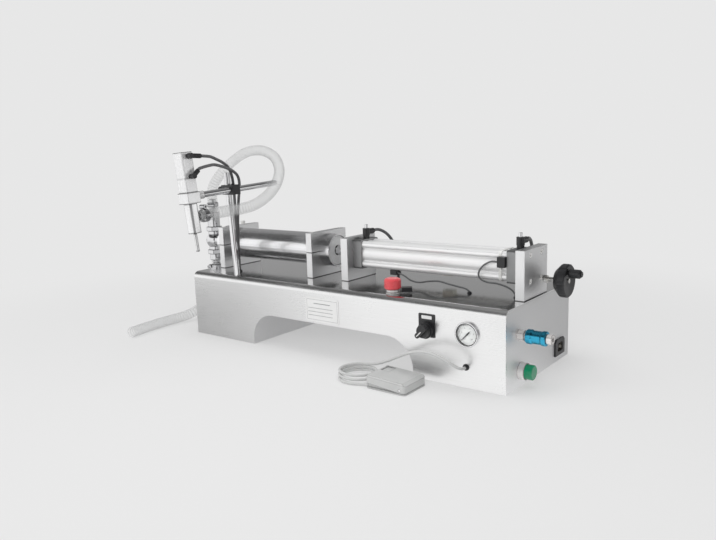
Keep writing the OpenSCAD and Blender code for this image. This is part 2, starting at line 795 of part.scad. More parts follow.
module fasteners() color(bright_steel) {
  at_clamp_screws() translate([0, 0, clamp_top - screw_head_h]) socket_screw(clamp_top - screw_head_h - axis_z + clamp_grip);
  thumb_screw();
  on_axis(rear_plate_x + plate_t - screw_head_h) at_bolts(bolt_pitch)
    outward_x() socket_screw(plate_t - screw_head_h + bolt_grip);
  on_axis(front_plate_x + screw_head_h) at_bolts(bolt_pitch)
    mirror([1, 0, 0]) outward_x() socket_screw(plate_t - screw_head_h + bolt_grip);
}

module thumb_screw() {
  tip_z = axis_z + sqrt(pow(tube_od / 2, 2) - pow(thumb_off - screw_shank / 2, 2)) + seat_fit;
  translate([clamp_1_x + clamp_t / 2, axis_y + thumb_off, 0]) {
    translate([0, 0, tip_z]) cylinder(d = screw_shank, h = clamp_top - tip_z);
    translate([0, 0, clamp_top]) cylinder(d = screw_head, h = thumb_head_h);
  }
}

// Product cylinder
module cylinder_tube() color(bright_steel) on_axis(tube_x0) difference() {
  rod_x(tube_od, tube_l);
  translate([-cut, 0, 0]) rod_x(tube_id, tube_l + 2 * cut);
}

module cylinder_head() color(bright_steel) on_axis(tube_x0) difference() {
  union() {
    rod_x(tube_id - 2 * run_fit, head_spigot_l);
    translate([-head_flange_l, 0, 0]) rod_x(head_flange_d, head_flange_l);
    translate([neck_joint_x - tube_x0, 0, 0]) rod_x(neck_d, -neck_joint_x + tube_x0);
  }
  translate([neck_joint_x - tube_x0 - cut, 0, 0]) rod_x(valve_bore, tube_l / 2);
}

// Check valve
module at_valve(z) { translate([-valve_x, axis_y, z]) children(); }

module valve_tee() color(bright_steel) at_valve(axis_z) difference() {
  union() {
    sphere(d = tee_d);
    cylinder(d = neck_d, h = 2 * tee_half, center = true);
    rod_x(neck_d, valve_x + neck_joint_x);
  }
  cylinder(d = valve_bore, h = 2 * tee_half + 2 * cut, center = true);
  rod_x(valve_bore, valve_x);
}

module check_valve(l) {
  difference() {
    union() {
      cylinder(d = hex_d, h = hex_l, $fn = 6);
      cylinder(d = neck_d, h = l);
      translate([0, 0, l]) hose_barb(barb_d, barb_l);
    }
    translate([0, 0, -cut]) cylinder(d = valve_bore, h = l + barb_l + 2 * cut);
  }
}

module outlet_check() color(bright_steel) at_valve(outlet_seat_z) check_valve(outlet_l);

module inlet_check() color(bright_steel) at_valve(inlet_seat_z) rotate([180, 0, 0]) check_valve(inlet_l);

module hose_clamps() color(bright_steel) {
  at_valve(outlet_barb_z + barb_l / 2 + hose_stop) rotate(outlet_turn) hose_band();
  at_valve(inlet_barb_z - barb_l / 2 - hose_stop) rotate(inlet_turn) hose_band();
}

// Pistons and rod
module product_piston() color(bright_steel) on_axis(piston_x) difference() {
  rod_x(piston_d, piston_l);
  for (x = [seal_inset, piston_l - seal_inset - seal_w]) translate([x, 0, 0]) difference() {
    rod_x(tube_od, seal_w);
    translate([-cut, 0, 0]) rod_x(piston_d - 2 * seal_depth, seal_w + 2 * cut);
  }
  translate([-cut, 0, 0]) rod_x(stud_d + 2 * run_fit, piston_l + 2 * cut);
}

module piston_seals() color(black_plastic)
  for (x = [seal_inset, piston_l - seal_inset - seal_w]) on_axis(piston_x + x + 0.1) difference() {
    rod_x(tube_id - run_fit, seal_w - 0.2);
    translate([-cut, 0, 0]) rod_x(piston_d - 2 * seal_depth + 2 * run_fit, seal_w + 2 * cut);
  }

module piston_rod() color(bright_steel) on_axis(rod_x0) {
  translate([-piston_l, 0, 0]) rod_x(stud_d, piston_l);
  outward_x() cylinder(d = rod_nut_d, h = rod_nut_l, $fn = 6);
  rod_x(rod_d, air_piston_x - rod_x0);
  translate([air_piston_x - rod_x0, 0, 0]) rod_x(stud_d, air_piston_l);
}

module air_piston() color(aluminium) on_axis(air_piston_x) difference() {
  rod_x(air_piston_d, air_piston_l);
  translate([-cut, 0, 0]) rod_x(stud_d + 2 * run_fit, air_piston_l + 2 * cut);
}

// Air cylinder and its plates
module mount_plate(x) {
  translate([x, axis_y - plate_w / 2, base_h]) cube([plate_t, plate_w, plate_top - base_h]);
}

module screw_bearing(x, l) { translate([x, screw_y, screw_z]) rod_x(screw_d + 2 * run_fit, l); }

module front_plate() color(satin_steel) difference() {
  mount_plate(front_plate_x);
  on_axis(front_plate_x - cut) {
    rod_x(rod_d + 2 * free_fit, plate_t + 2 * cut);
    at_bolts(bolt_pitch) {
      rod_x(screw_hole, plate_t + 2 * cut);
      rod_x(screw_head + 2 * seat_fit, screw_head_h + cut);
    }
  }
  screw_bearing(front_plate_x + plate_t - screw_tip, plate_t);
}

module rear_plate() color(satin_steel) difference() {
  mount_plate(rear_plate_x);
  on_axis(rear_plate_x - cut) at_bolts(bolt_pitch) {
    rod_x(screw_hole, plate_t + 2 * cut);
    translate([plate_t - screw_head_h + cut, 0, 0]) rod_x(screw_head + 2 * seat_fit, screw_head_h + cut);
  }
  screw_bearing(rear_plate_x - cut, plate_t + 2 * cut);
}

module barrel_outline() {
  circle(d = barrel_d);
  for (y = [-1, 1], z = [-1, 1]) translate([y * rib_off, z * rib_off]) circle(d = rib_d);
}

module air_barrel() color(aluminium) on_axis(barrel_x) difference() {
  along_x(barrel_l) barrel_outline();
  translate([-cut, 0, 0]) rod_x(air_bore, barrel_l + 2 * cut);
}

module cap_block(x, l) { on_axis(x) along_x(l) rounded_square(cap_side, cap_side, cap_corner_r); }

module cylinder_caps() color(cast_grey) difference() {
  union() {
    cap_block(front_cap_x, front_cap_l);
    on_axis(barrel_x) rod_x(air_bore - 2 * run_fit, spigot_l);
    cap_block(rear_cap_x, rear_cap_l);
  }
  on_axis(front_cap_x - cut) rod_x(rod_d + 2 * run_fit, front_cap_l + spigot_l + 2 * cut);
  on_axis(front_cap_x - cut) at_bolts(bolt_pitch) rod_x(screw_hole, bolt_grip + 2 * cut);
  on_axis(rear_plate_x - bolt_grip - cut) at_bolts(bolt_pitch) rod_x(screw_hole, bolt_grip + 2 * cut);
}

module flow_controls() color(black_plastic) for (x = port_x) translate([x, axis_y, port_z]) difference() {
  union() {
    cylinder(d = control_d, h = control_hex_l, $fn = 6);
    translate([0, 0, control_hex_l]) cylinder(d = control_d, h = control_h);
    translate([0, 0, control_z - port_z]) rod_y(control_collar_d, control_reach);
  }
  translate([0, 0, control_hex_l + control_h - knob_stem_l])
    cylinder(d = knob_stem_d + 2 * run_fit, h = knob_stem_l + cut);
}

module flow_knob(x) translate([x, axis_y, port_z + control_hex_l + control_h]) {
  translate([0, 0, -knob_stem_l + free_fit]) cylinder(d = knob_stem_d, h = knob_stem_l);
  difference() {
    translate([0, 0, free_fit]) cylinder(d = knob_d, h = knob_h);
    translate([-knob_d, -0.6, knob_h - 1]) cube([2 * knob_d, 1.2, 2]);
  }
}

module front_flow_knob() color(bright_steel) flow_knob(port_x[0]);

module rear_flow_knob() color(bright_steel) flow_knob(port_x[1]);

module reed_switches() color(black_plastic) {
  for (i = [0, 1]) translate([reed_x[i], reed_y[i], axis_z + reed_z[i]]) cube([reed_l, reed_h, reed_w[i]]);
  on_axis(reed_x[1]) along_x(strap_w) difference() {
    strap_outline(seat_fit + band_t);
    strap_outline(seat_fit);
  }
}

module strap_outline(t) {
  side = 2 * rib_off + rib_d + 2 * t;
  rounded_square(side, side, rib_d / 2 + t);
}

// Volume screw, sensor carriage and handwheel
module at_screw(x) { translate([x, screw_y, screw_z]) children(); }

module lead_screw() color(bright_steel) {
  x0 = front_plate_x + plate_t - screw_tip + free_fit;
  at_screw(x0) rod_x(screw_d, wheel_x + wheel_t - free_fit - x0);
  at_screw(rear_plate_x - free_fit - collar_l) rod_x(collar_d, collar_l);
  at_screw(rear_plate_x + plate_t + free_fit) rod_x(collar_d, collar_l);
}

module sensor_carriage() color(black_plastic) difference() {
  flank = axis_y + barrel_d / 2 + rib_d / 4 + barrel_gap;
  union() {
    at_screw(carriage_x) translate([0, -carriage_w / 2, -carriage_below])
      cube([carriage_l, carriage_w, carriage_below + carriage_above]);
    translate([carriage_x, flank, screw_z]) cube([carriage_l, finger_w, finger_h + carriage_above]);
  }
  at_screw(carriage_x - cut) rod_x(screw_d + 2 * run_fit, carriage_l + 2 * cut);
}

module handwheel() color(black_plastic) {
  at_screw(wheel_x) difference() {
    outward_x() rotate_extrude() polygon([
      [0, 0], [wheel_face_d / 2, 0], [wheel_d / 2 - 1, wheel_cone], [wheel_d / 2, wheel_cone + 2],
      [wheel_d / 2, wheel_t - rim_edge], [wheel_d / 2 - rim_edge, wheel_t], [wheel_d / 2 - 2 * rim_edge, wheel_t],
      [hub_d / 2, wheel_t - 2], [0, wheel_t - 2]]);
    translate([-cut, 0, 0]) rod_x(screw_d + 2 * run_fit, wheel_t + 2 * cut);
    for (i = [0 : scallop_count - 1]) rotate([360 / scallop_count * (i + 0.5), 0, 0])
      translate([-cut, wheel_d / 2 + scallop_d / 2 - scallop_depth, 0]) rod_x(scallop_d, wheel_t + 2 * cut);
  }
  at_grip(wheel_x + wheel_t - rim_edge) rod_x(spindle_d, rim_edge + 2 * free_fit + grip_l);
  at_grip(wheel_x + wheel_t + 2 * free_fit + grip_l) rod_x(spindle_cap_d, spindle_cap_l);
}

module at_grip(x) {
  at_screw(x) translate([0, grip_r * cos(grip_angle), grip_r * sin(grip_angle)]) children();
}

module crank_grip() color(black_plastic) at_grip(wheel_x + wheel_t + free_fit) difference() {
  outward_x() rotate_extrude() polygon([
    [0, 0], [grip_d / 2 - 1, 0], [grip_d / 2, 2], [grip_d / 2, grip_l - 2], [grip_d / 2 - 1.5, grip_l], [0, grip_l]]);
  translate([-cut, 0, 0]) rod_x(spindle_d + 2 * run_fit, grip_l + 2 * cut);
}

// Emergency stop, selector and gauge
module estop_body() color(black_plastic) translate([estop_x, estop_y, base_h]) difference() {
  union() {
    cylinder(d = estop_rim_d, h = estop_rim_h);
    cylinder(d = panel_hole, h = estop_rim_h + estop_neck_h);
    translate([0, 0, -switch_depth]) cylinder(d = panel_neck, h = switch_depth);
    translate([0, 0, estop_rim_h]) rotate(estop_tab_turn) translate([0, -estop_tab_w / 2, 0]) {
      lug_in = estop_d / 2 + free_fit;
      cube([estop_tab_l, estop_tab_w, estop_tab_t]);
      translate([lug_in, 0, 0]) cube([estop_tab_l - lug_in, estop_tab_w, estop_lug_h]);
    }
  }
  translate([0, 0, -switch_depth / 2]) cylinder(d = estop_stem_d + 2 * run_fit, h = switch_depth * 2);
}

module estop_button() color("red") {
  top = estop_rim_h + estop_neck_h + estop_travel + free_fit;
  skirt = panel_hole + 2 * free_fit;
  translate([estop_x, estop_y, base_h]) {
    difference() {
      translate([0, 0, top - estop_skirt]) rotate_extrude() polygon([
        [0, 0], [estop_d / 2 - 2, 0], [estop_d / 2, 2], [estop_d / 2, estop_head_h - 4],
        [estop_d / 2 - 1.2, estop_head_h - 1.2], [estop_d / 2 - 4, estop_head_h], [0, estop_head_h]]);
      translate([0, 0, top - estop_skirt - cut]) cylinder(d = skirt, h = estop_skirt + cut);
    }
    translate([0, 0, -switch_depth / 2 + estop_travel + free_fit])
      cylinder(d = estop_stem_d, h = top + switch_depth / 2 - estop_travel);
  }
}

module selector_plate() color(aluminium) translate([selector_x, 0, 0]) difference() {
  translate([0, -legend_t, legend_z]) along_y(legend_t) rounded_square(legend_w, legend_h, 2);
  translate([0, -legend_t - cut, selector_z]) rod_y(panel_hole, legend_t + 2 * cut);
}

module selector_body() color(black_plastic) translate([selector_x, 0, selector_z]) difference() {
  union() {
    translate([0, -legend_t, 0]) outward_y() cylinder(d = selector_rim_d, h = selector_rim_h);
    translate([0, -legend_t, 0]) rod_y(panel_neck, switch_depth);
  }
  translate([0, -legend_t - selector_rim_h - cut, 0])
    rod_y(selector_stem_d + 2 * run_fit, selector_rim_h + switch_depth / 2);
}

module selector_knob() color(black_plastic)
  translate([selector_x, -legend_t - selector_rim_h - free_fit, selector_z]) {
    outward_y() cylinder(d1 = knob_round_d, d2 = knob_round_d - 2, h = knob_base_h);
    rod_y(selector_stem_d, selector_rim_h + switch_depth / 3);
    rotate([0, lever_angle, 0]) difference() {
      translate([0, -lever_h, -lever_l / 2 + knob_round_d / 2]) along_y(lever_h)
        rounded_square(lever_w, lever_l, lever_w / 2 - 0.1);
      translate([-1, -lever_h - cut, -lever_l + knob_round_d / 2 + 2]) cube([2, cut + 0.6, lever_l / 2]);
    }
  }

module gauge_case() color(black_plastic) translate([gauge_x, 0, gauge_z]) difference() {
  union() {
    outward_y() cylinder(d = gauge_d, h = gauge_front);
    rod_y(gauge_body_d, gauge_depth);
  }
  translate([0, -gauge_front - cut, 0]) rod_y(gauge_d - 2 * gauge_rim, dial_in + cut);
  translate([0, -gauge_front - cut, 0]) rod_y(hub_pin_d + 2 * run_fit, dial_in + 8);
}

module gauge_needle() color("black") translate([gauge_x, -gauge_front + dial_in, gauge_z]) {
  translate([0, -1 - needle_t, 0]) rotate([0, -needle_angle + 90, 0]) translate([0, 0, -needle_tail]) along_y(needle_t)
    polygon([[-needle_w / 2, 0], [needle_w / 2, 0], [0.4, needle_l + needle_tail], [-0.4, needle_l + needle_tail]]);
  translate([0, -1 - needle_t - 0.4, 0]) rod_y(hub_pin_d, 7);
}

// Right panel
module on_right(y, z) { translate([base_l, y, z]) children(); }

module power_bezel() color(bright_steel) on_right(power_y, power_z) difference() {
  union() {
    outward_x() cylinder(d1 = power_d, d2 = power_d - 1, h = power_rim_h);
    translate([-switch_depth, 0, 0]) rod_x(panel_neck, switch_depth);
  }
  translate([power_rim_h - power_travel - 2 * free_fit, 0, 0]) rod_x(power_cap_d + 2 * free_fit, power_rim_h);
  translate([-switch_depth / 2, 0, 0]) rod_x(power_stem_d + 2 * run_fit, switch_depth);
}

module power_button() color("green") on_right(power_y, power_z) {
  translate([power_rim_h - free_fit, 0, 0]) outward_x() rotate_extrude() polygon([
    [0, 0], [power_cap_d / 2, 0], [power_cap_d / 2, power_cap_h - 1.5], [power_cap_d / 2 - 1.5, power_cap_h],
    [0, power_cap_h]]);
  translate([-switch_depth / 2 + power_travel + free_fit, 0, 0]) rod_x(power_stem_d, switch_depth / 2 + 2);
}

module mains_inlet() color(black_plastic) on_right(inlet_y, inlet_z) difference() {
  union() {
    along_x(inlet_t) inlet_outline(inlet_w, inlet_h, inlet_corner);
    translate([-inlet_depth, 0, 0]) along_x(inlet_depth) square([inlet_body_w, inlet_body_h], center = true);
  }
  difference() {
    translate([inlet_t - inlet_slot_d, 0, 0]) along_x(inlet_slot_d + cut)
      inlet_outline(inlet_slot_w, inlet_slot_h, inlet_corner - 1);
    for (i = [-1 : 1]) translate([inlet_t - inlet_slot_d - cut, i * contact_pitch - contact_w / 2, -contact_h / 2 - i * i * 2])
      cube([inlet_slot_d - 1, contact_w, contact_h]);
  }
}

module inlet_outline(w, h, c) {
  polygon([[-w / 2, -h / 2], [w / 2, -h / 2], [w / 2, h / 2 - c], [w / 2 - c, h / 2],
    [-w / 2 + c, h / 2], [-w / 2, h / 2 - c]]);
}

module air_coupler() color(bright_steel) on_right(coupler_y, coupler_z) difference() {
  union() {
    outward_x() cylinder(d = coupler_nut_d, h = coupler_nut_l, $fn = 6);
    translate([-panel_t - gland_tail, 0, 0]) rod_x(coupler_hole - 2 * seat_fit, panel_t + gland_tail);
    rod_x(coupler_core_d, coupler_l);
    translate([coupler_l - coupler_end_l, 0, 0]) rod_x(coupler_end_d, coupler_end_l);
  }
  translate([-panel_t - gland_tail - cut, 0, 0]) rod_x(coupler_core_d / 2, coupler_l + panel_t + gland_tail + 2 * cut);
}

module coupler_sleeve() color("steelblue") {
  x0 = base_l + coupler_nut_l + sleeve_travel + free_fit;
  flare = sleeve_d / 2;
  translate([x0, coupler_y, coupler_z]) difference() {
    outward_x() rotate_extrude() polygon([
      [0, 0], [flare - 1, 0], [flare, 1.5], [flare, 8], [flare - 1.2, 11], [flare - 1.2, sleeve_l - 9],
      [flare, sleeve_l - 6], [flare, sleeve_l - 1], [flare - 1, sleeve_l], [0, sleeve_l]]);
    translate([-cut, 0, 0]) rod_x(coupler_core_d + 2 * run_fit, sleeve_l + 2 * cut);
  }
}

// Cable gland in the front and grommets in the deck
module cable_entries() color(black_plastic) {
  translate([gland_x, 0, gland_z]) difference() {
    union() {
      outward_y() cylinder(d = gland_nut_d, h = gland_nut_l);
      outward_y() translate([0, 0, gland_nut_l]) cylinder(d1 = gland_dome_d, d2 = gland_dome_d - 2, h = gland_dome_l);
      rod_y(gland_thread_d, sheet_t + gland_tail);
    }
    translate([0, gland_end + 1, 0]) rod_y(pedal_cable_d, gland_tail + sheet_t - gland_end + cut);
  }
  for (g = grommets) translate([g[0], g[1], base_h]) difference() {
    union() {
      cylinder(d1 = g[2] + 2 * grommet_wall + 2 * grommet_lip, d2 = g[2] + 2 * grommet_wall, h = grommet_h);
      translate([0, 0, -sheet_t - 2]) cylinder(d = g[2] + 2 * grommet_wall - 2 * seat_fit, h = sheet_t + 2 + cut);
    }
    translate([0, 0, -sheet_t - 2 - cut]) cylinder(d = g[2], h = sheet_t + 2 + grommet_h);
  }
}

// Nozzle stand
module stand_rod() color(bright_steel) on_stand() {
  translate([0, 0, -stand_root]) cylinder(d = stand_d, h = stand_root + stand_h);
  translate([0, 0, -stand_nut_gap - stand_nut_l]) cylinder(d = stand_nut_d, h = stand_nut_l, $fn = 6);
}

module cross_clamp() color(black_plastic) on_stand() translate([0, 0, cross_h]) difference() {
  wall = stand_d / 2 + cross_wall;
  union() {
    translate([-wall, -cross_half_w, -cross_half_h])
      cube([cross_off + 2 * wall, 2 * cross_half_w, 2 * cross_half_h]);
    translate([-wall - cross_screw_l, 0, 0]) rod_x(cross_screw_d, cross_screw_l + cut);
    translate([-wall - cross_screw_l - cross_knob_l, 0, 0]) rod_x(cross_knob_d, cross_knob_l);
    translate([cross_off, 0, cross_half_h - cut]) cylinder(d = cross_screw_d, h = cross_screw_l + cut);
  }
  cylinder(d = stand_d + 2 * run_fit, h = 3 * cross_half_h, center = true);
  translate([cross_off, -2 * cross_half_w, 0]) rod_y(stand_d + 2 * run_fit, 4 * cross_half_w);
}

module arm_rod() color(bright_steel) on_stand() translate([cross_off, -arm_front - 2, cross_h])
  rod_y(stand_d, arm_front + 2 + arm_back);

// Filling nozzle, along its own axis from the arm
module nozzle_holder() color(aluminium) on_nozzle() difference() {
  socket_y = nozzle_reach - arm_front - 2;
  union() {
    translate([0, 0, -holder_down]) linear_extrude(holder_up + holder_down) rounded_square(holder_w, holder_w, 3);
    translate([0, holder_w / 2 - cut, 0]) rod_y(stand_d + 2 * cross_wall / 2, socket_y + arm_socket - holder_w / 2 + cut);
  }
  translate([0, socket_y, 0]) rod_y(stand_d + 2 * run_fit, arm_socket + holder_w);
  translate([0, 0, -holder_down - cut]) cylinder(d = guide_d + 2 * free_fit, h = holder_up + holder_down + 2 * cut);
}

module nozzle_actuator() color(aluminium) on_nozzle() translate([0, 0, holder_up]) difference() {
  union() {
    linear_extrude(actuator_h) rounded_square(actuator_w - 2 * seam_d, actuator_w - 2 * seam_d, actuator_r - seam_d);
    linear_extrude(seam_z) rounded_square(actuator_w, actuator_w, actuator_r);
    translate([0, 0, seam_z + seam_w]) linear_extrude(actuator_h - seam_z - seam_w)
      rounded_square(actuator_w, actuator_w, actuator_r);
  }
  translate([0, 0, act_floor]) cylinder(d = act_bore, h = actuator_h - 2 * act_floor);
  translate([0, 0, -cut]) cylinder(d = guide_d, h = act_floor + 2 * cut);
}

module nozzle_fittings() color(black_plastic) on_nozzle() for (i = [0, 1])
  translate([actuator_w / 2, 0, fitting_z[i]]) {
    rod_x(fitting_stub_d, fitting_stub_l);
    translate([fitting_stub_l, 0, 0]) rod_x(fitting_d, fitting_d);
    translate([fitting_stub_l + fitting_d / 2, 0, 0]) rotate([fitting_tilt[i], 0, 0]) rod_y(fitting_d - 1, fitting_l[i]);
  }

module nozzle_body() color(bright_steel) on_nozzle() difference() {
  union() {
    translate([0, 0, body_bottom]) cylinder(d = nozzle_d, h = nozzle_l);
    translate([0, 0, body_bottom - tip_l]) cylinder(d = tip_d, h = tip_l + cut);
    translate([0, nozzle_barb_root, barb_z]) rotate([-90, 0, 0]) cylinder(d = barb_d - 2, h = barb_start - nozzle_barb_root);
    translate([0, barb_start, barb_z]) rotate([-90, 0, 0]) hose_barb(barb_d, barb_l);
  }
  translate([0, 0, body_bottom + chamber_floor]) cylinder(d = nozzle_chamber, h = nozzle_l - 2 * chamber_floor);
  translate([0, 0, body_top - chamber_floor - cut]) cylinder(d = guide_d, h = chamber_floor + 2 * cut);
  translate([0, 0, body_bottom + chamber_floor - seat_l]) cylinder(d = seat_d + 2 * run_fit, h = seat_l + cut);
  translate([0, 0, body_bottom - tip_l - cut]) cylinder(d = tip_bore, h = tip_l + chamber_floor + 2 * cut);
  translate([0, 0, barb_z]) rod_y(valve_bore - 1, barb_start + barb_l + cut);
}

module nozzle_clamp() color(bright_steel) on_nozzle()
  translate([0, barb_start + barb_l / 2, barb_z]) rotate([-90, 0, 0]) rotate(90) hose_band();

module nozzle_plunger() color(bright_steel) on_nozzle() {
  low = body_bottom + chamber_floor - seat_l + 0.3;
  high = holder_up + act_floor + act_piston_l + free_fit;
  translate([0, 0, low]) cylinder(d = seat_d, h = seat_l + 4);
  translate([0, 0, low]) cylinder(d = plunger_d, h = high - low);
  translate([0, 0, high - act_piston_l]) cylinder(d = act_bore - 2 * run_fit, h = act_piston_l);
}

// Foot pedal
module at_pedal() { translate([pedal_x, -pedal_y, 0]) children(); }

module pedal_plan(inset) {
  translate([pedal_l / 2, pedal_w / 2])
    rounded_square(pedal_l - 2 * inset, pedal_w - 2 * inset, max(pedal_corner_r - inset, 0.5));
}

module pedal_base() color(grey_plastic) difference() {
  inset = pedal_wall + skirt_gap;
  union() {
    at_pedal() difference() {
      union() {
        linear_extrude(pedal_floor) pedal_plan(0);
        linear_extrude(pedal_base_h) pedal_plan(inset);
      }
      translate([0, 0, pedal_floor]) linear_extrude(pedal_base_h) pedal_plan(inset + pedal_wall);
    }
    for (y = [inset, pedal_w - inset - lug_w]) translate([pin_x - 6, y - pedal_y, pedal_floor])
      cube([12, lug_w, pin_z + pin_d / 2 + 2 - pedal_floor]);
    translate([pedal_x, entry_y, coil_low]) rod_x(pedal_entry_d - 4, inset + pedal_wall);
  }
  translate([pin_x, -pedal_y - cut, pin_z]) rod_y(pin_d + 2 * run_fit, pedal_w + 2 * cut);
}

module wedge(low, high, floor_z) {
  along_y(pedal_w) polygon([[0, floor_z], [pedal_l, floor_z], [pedal_l, low - treadle_toe_h],
    [pedal_l - treadle_toe_l, low], [0, high]]);
}

// Bevels on the upper edges of the treadle, and the recess, in the plane of its top
module treadle_top_cuts() {
  b = treadle_bevel;
  translate([0, 0, pedal_h]) rotate([0, atan((pedal_h - pedal_low) / (pedal_l - treadle_toe_l)), 0]) {
    translate([-pedal_l / 4, 0, -b]) rotate([45, 0, 0]) translate([0, -b, 0]) cube([1.5 * pedal_l, 4 * b, 2 * b]);
    translate([-pedal_l / 4, pedal_w, -b]) rotate([-45, 0, 0]) translate([0, -3 * b, 0])
      cube([1.5 * pedal_l, 4 * b, 2 * b]);
    translate([0, -cut, -b]) rotate([0, -45, 0]) translate([-b, 0, 0]) cube([4 * b, pedal_w + 2 * cut, 2 * b]);
    translate([recess_in, pedal_w - recess_w - recess_in, -recess_d]) cube([recess_l, recess_w, 2 * recess_d]);
  }
}

module pedal_treadle() color(grey_plastic) at_pedal() difference() {
  bottom = pedal_floor + skirt_gap;
  press_room = pedal_l * sin(treadle_press) + skirt_gap;
  intersection() {
    linear_extrude(pedal_h) pedal_plan(0);
    wedge(pedal_low, pedal_h, bottom);
  }
  intersection() {
    linear_extrude(pedal_h) pedal_plan(pedal_wall);
    translate([0, -cut, -pedal_wall]) wedge(pedal_low, pedal_h, 0);
  }
  translate([-cut, -cut, 0]) along_y(pedal_w + 2 * cut)
    polygon([[0, 0], [pedal_l, 0], [pedal_l, bottom], [pin_x - pedal_x, bottom], [0, bottom + press_room]]);
  treadle_top_cuts();
  translate([pin_x - pedal_x, -cut, pin_z]) rod_y(pin_d + 2 * run_fit, pedal_w + 2 * cut);
  translate([-cut, entry_y + pedal_y - pedal_entry_d / 2, 0]) along_x(3 * pedal_wall)
    rounded_top(pedal_entry_d, coil_low + pedal_cable_d / 2 + press_room, pedal_entry_d / 4);
}

module pedal_pin() color(bright_steel) translate([pin_x, -pedal_y + 0.5, pin_z]) rod_y(pin_d, pedal_w - 1);

// Hoses, tubes and cables
coil_exit = coil_point(coil_end);
exit_steps = [[7.3, 2.5], [14, 5]];
entry_in = 6.5;
entry_rise = 7.4;
entry_curve = 0.5;
entry_y = coil_exit[1] + entry_rise;
loop_points = ceil(24 * (coil_end - coil_start) / 360);
// Least gap of the coil to itself, on points 5 degrees apart and more than a third of a turn away
coil_points = [for (a = [coil_start : 5 : coil_end]) coil_point(a)];
coil_gap = min([for (i = [0 : len(coil_points) - 1]) for (j = [i + 24 : 1 : len(coil_points) - 1])
  norm(coil_points[i] - coil_points[j])]) - pedal_cable_d;
coil_path = concat(
  [for (i = [0 : loop_points]) coil_point(coil_start + (coil_end - coil_start) * i / loop_points)],
  [for (s = exit_steps) [coil_exit[0] + s[0], coil_exit[1] + s[1], coil_low]],
  [[pedal_x - entry_in, entry_y - entry_curve, coil_low], [pedal_x, entry_y, coil_low]]);

module product_hose() color(clear_hose) difference() {
  tube(smooth(product_route, 3), hose_d, 12, barb_way, [0, 0, -1]);
  on_nozzle() translate([0, barb_start - cut, barb_z]) rod_y(hose_id, barb_l + 2 * cut);
  at_valve(outlet_barb_z) cylinder(d = hose_id, h = barb_l + cut);
}

module suction_hose() color(clear_hose) difference() {
  tube(smooth(suction_route, 3), hose_d, 12, [0, 0, -1]);
  at_valve(inlet_barb_z - barb_l - cut) cylinder(d = hose_id, h = barb_l + 2 * cut);
}

module nozzle_tubes() color(black_plastic) {
  tube(smooth(upper_tube_route, 3), air_tube_d, 8, fitting_way(1), [0, 0, -1]);
  tube(smooth(lower_tube_route, 3), air_tube_d, 8, fitting_way(0), [0, 0, -1]);
}

module cylinder_lines() color(black_plastic) {
  tube(smooth(front_air_route, 3), air_tube_d, 8, [0, 1, 0], [0, 0, -1]);
  tube(smooth(rear_air_route, 3), air_tube_d, 8, [0, 1, 0], [0, 0, -1]);
  tube(smooth(front_sensor_route, 3), sensor_cable_d, 8, [1, 0, 0], [0, 0, -1]);
  tube(smooth(rear_sensor_route, 3), sensor_cable_d, 8, [-1, 0, 0], [0, 0, -1]);
}

module pedal_cable() color(grey_plastic) tube(smooth(pedal_cable_route, 3), pedal_cable_d, 8, [0, -1, 0], coil_way);

module pedal_coil() color(grey_plastic) tube(coil_path, pedal_cable_d, 6, coil_way, [1, 0, 0]);

echo(product_hose = route_length(smooth(product_route, 6)), suction_hose = route_length(smooth(suction_route, 6)),
  coil_gap = coil_gap);

placed() base_housing();
placed() left_end_panel();
placed() right_end_panel();
placed() belly_pan();
placed() clamp_bases();
placed() clamp_caps();
placed() fasteners();
placed() cylinder_tube();
placed() cylinder_head();
placed() valve_tee();
placed() inlet_check();
placed() outlet_check();
placed() hose_clamps();
placed() product_piston();
placed() piston_seals();
placed() piston_rod();
placed() air_piston();
placed() front_plate();
placed() rear_plate();
placed() air_barrel();
placed() cylinder_caps();
placed() flow_controls();
placed() front_flow_knob();
placed() rear_flow_knob();
placed() reed_switches();
placed() lead_screw();
placed() sensor_carriage();
placed() handwheel();
placed() crank_grip();
placed() estop_body();
placed() estop_button();
placed() selector_plate();
placed() selector_body();
placed() selector_knob();
placed() gauge_case();
placed() gauge_needle();
placed() power_bezel();
placed() power_button();
placed() mains_inlet();
placed() air_coupler();
placed() coupler_sleeve();
placed() cable_entries();
placed() stand_rod();
placed() cross_clamp();
placed() arm_rod();
placed() nozzle_holder();
placed() nozzle_actuator();
placed() nozzle_fittings();
placed() nozzle_body();
placed() nozzle_clamp();
placed() nozzle_plunger();
placed() pedal_base();
placed() pedal_treadle();
placed() pedal_pin();
placed() product_hose();
placed() suction_hose();
placed() nozzle_tubes();
placed() cylinder_lines();
placed() pedal_cable();
placed() pedal_coil();
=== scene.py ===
# %% [markdown]
# # A bench-top paste filler
# The machine is a bent stainless box with a product cylinder and an air cylinder in line on its deck.
# Its solids come packed as a fixed frame, so this file gives them their finishes and adds what is soft, clear or
# printed. We load the frame first and keep its box, because nothing we add may change the size of the machine.

# %% Load the frame
import bmesh
import bpy
import json
import math
from mathutils import Matrix, Vector

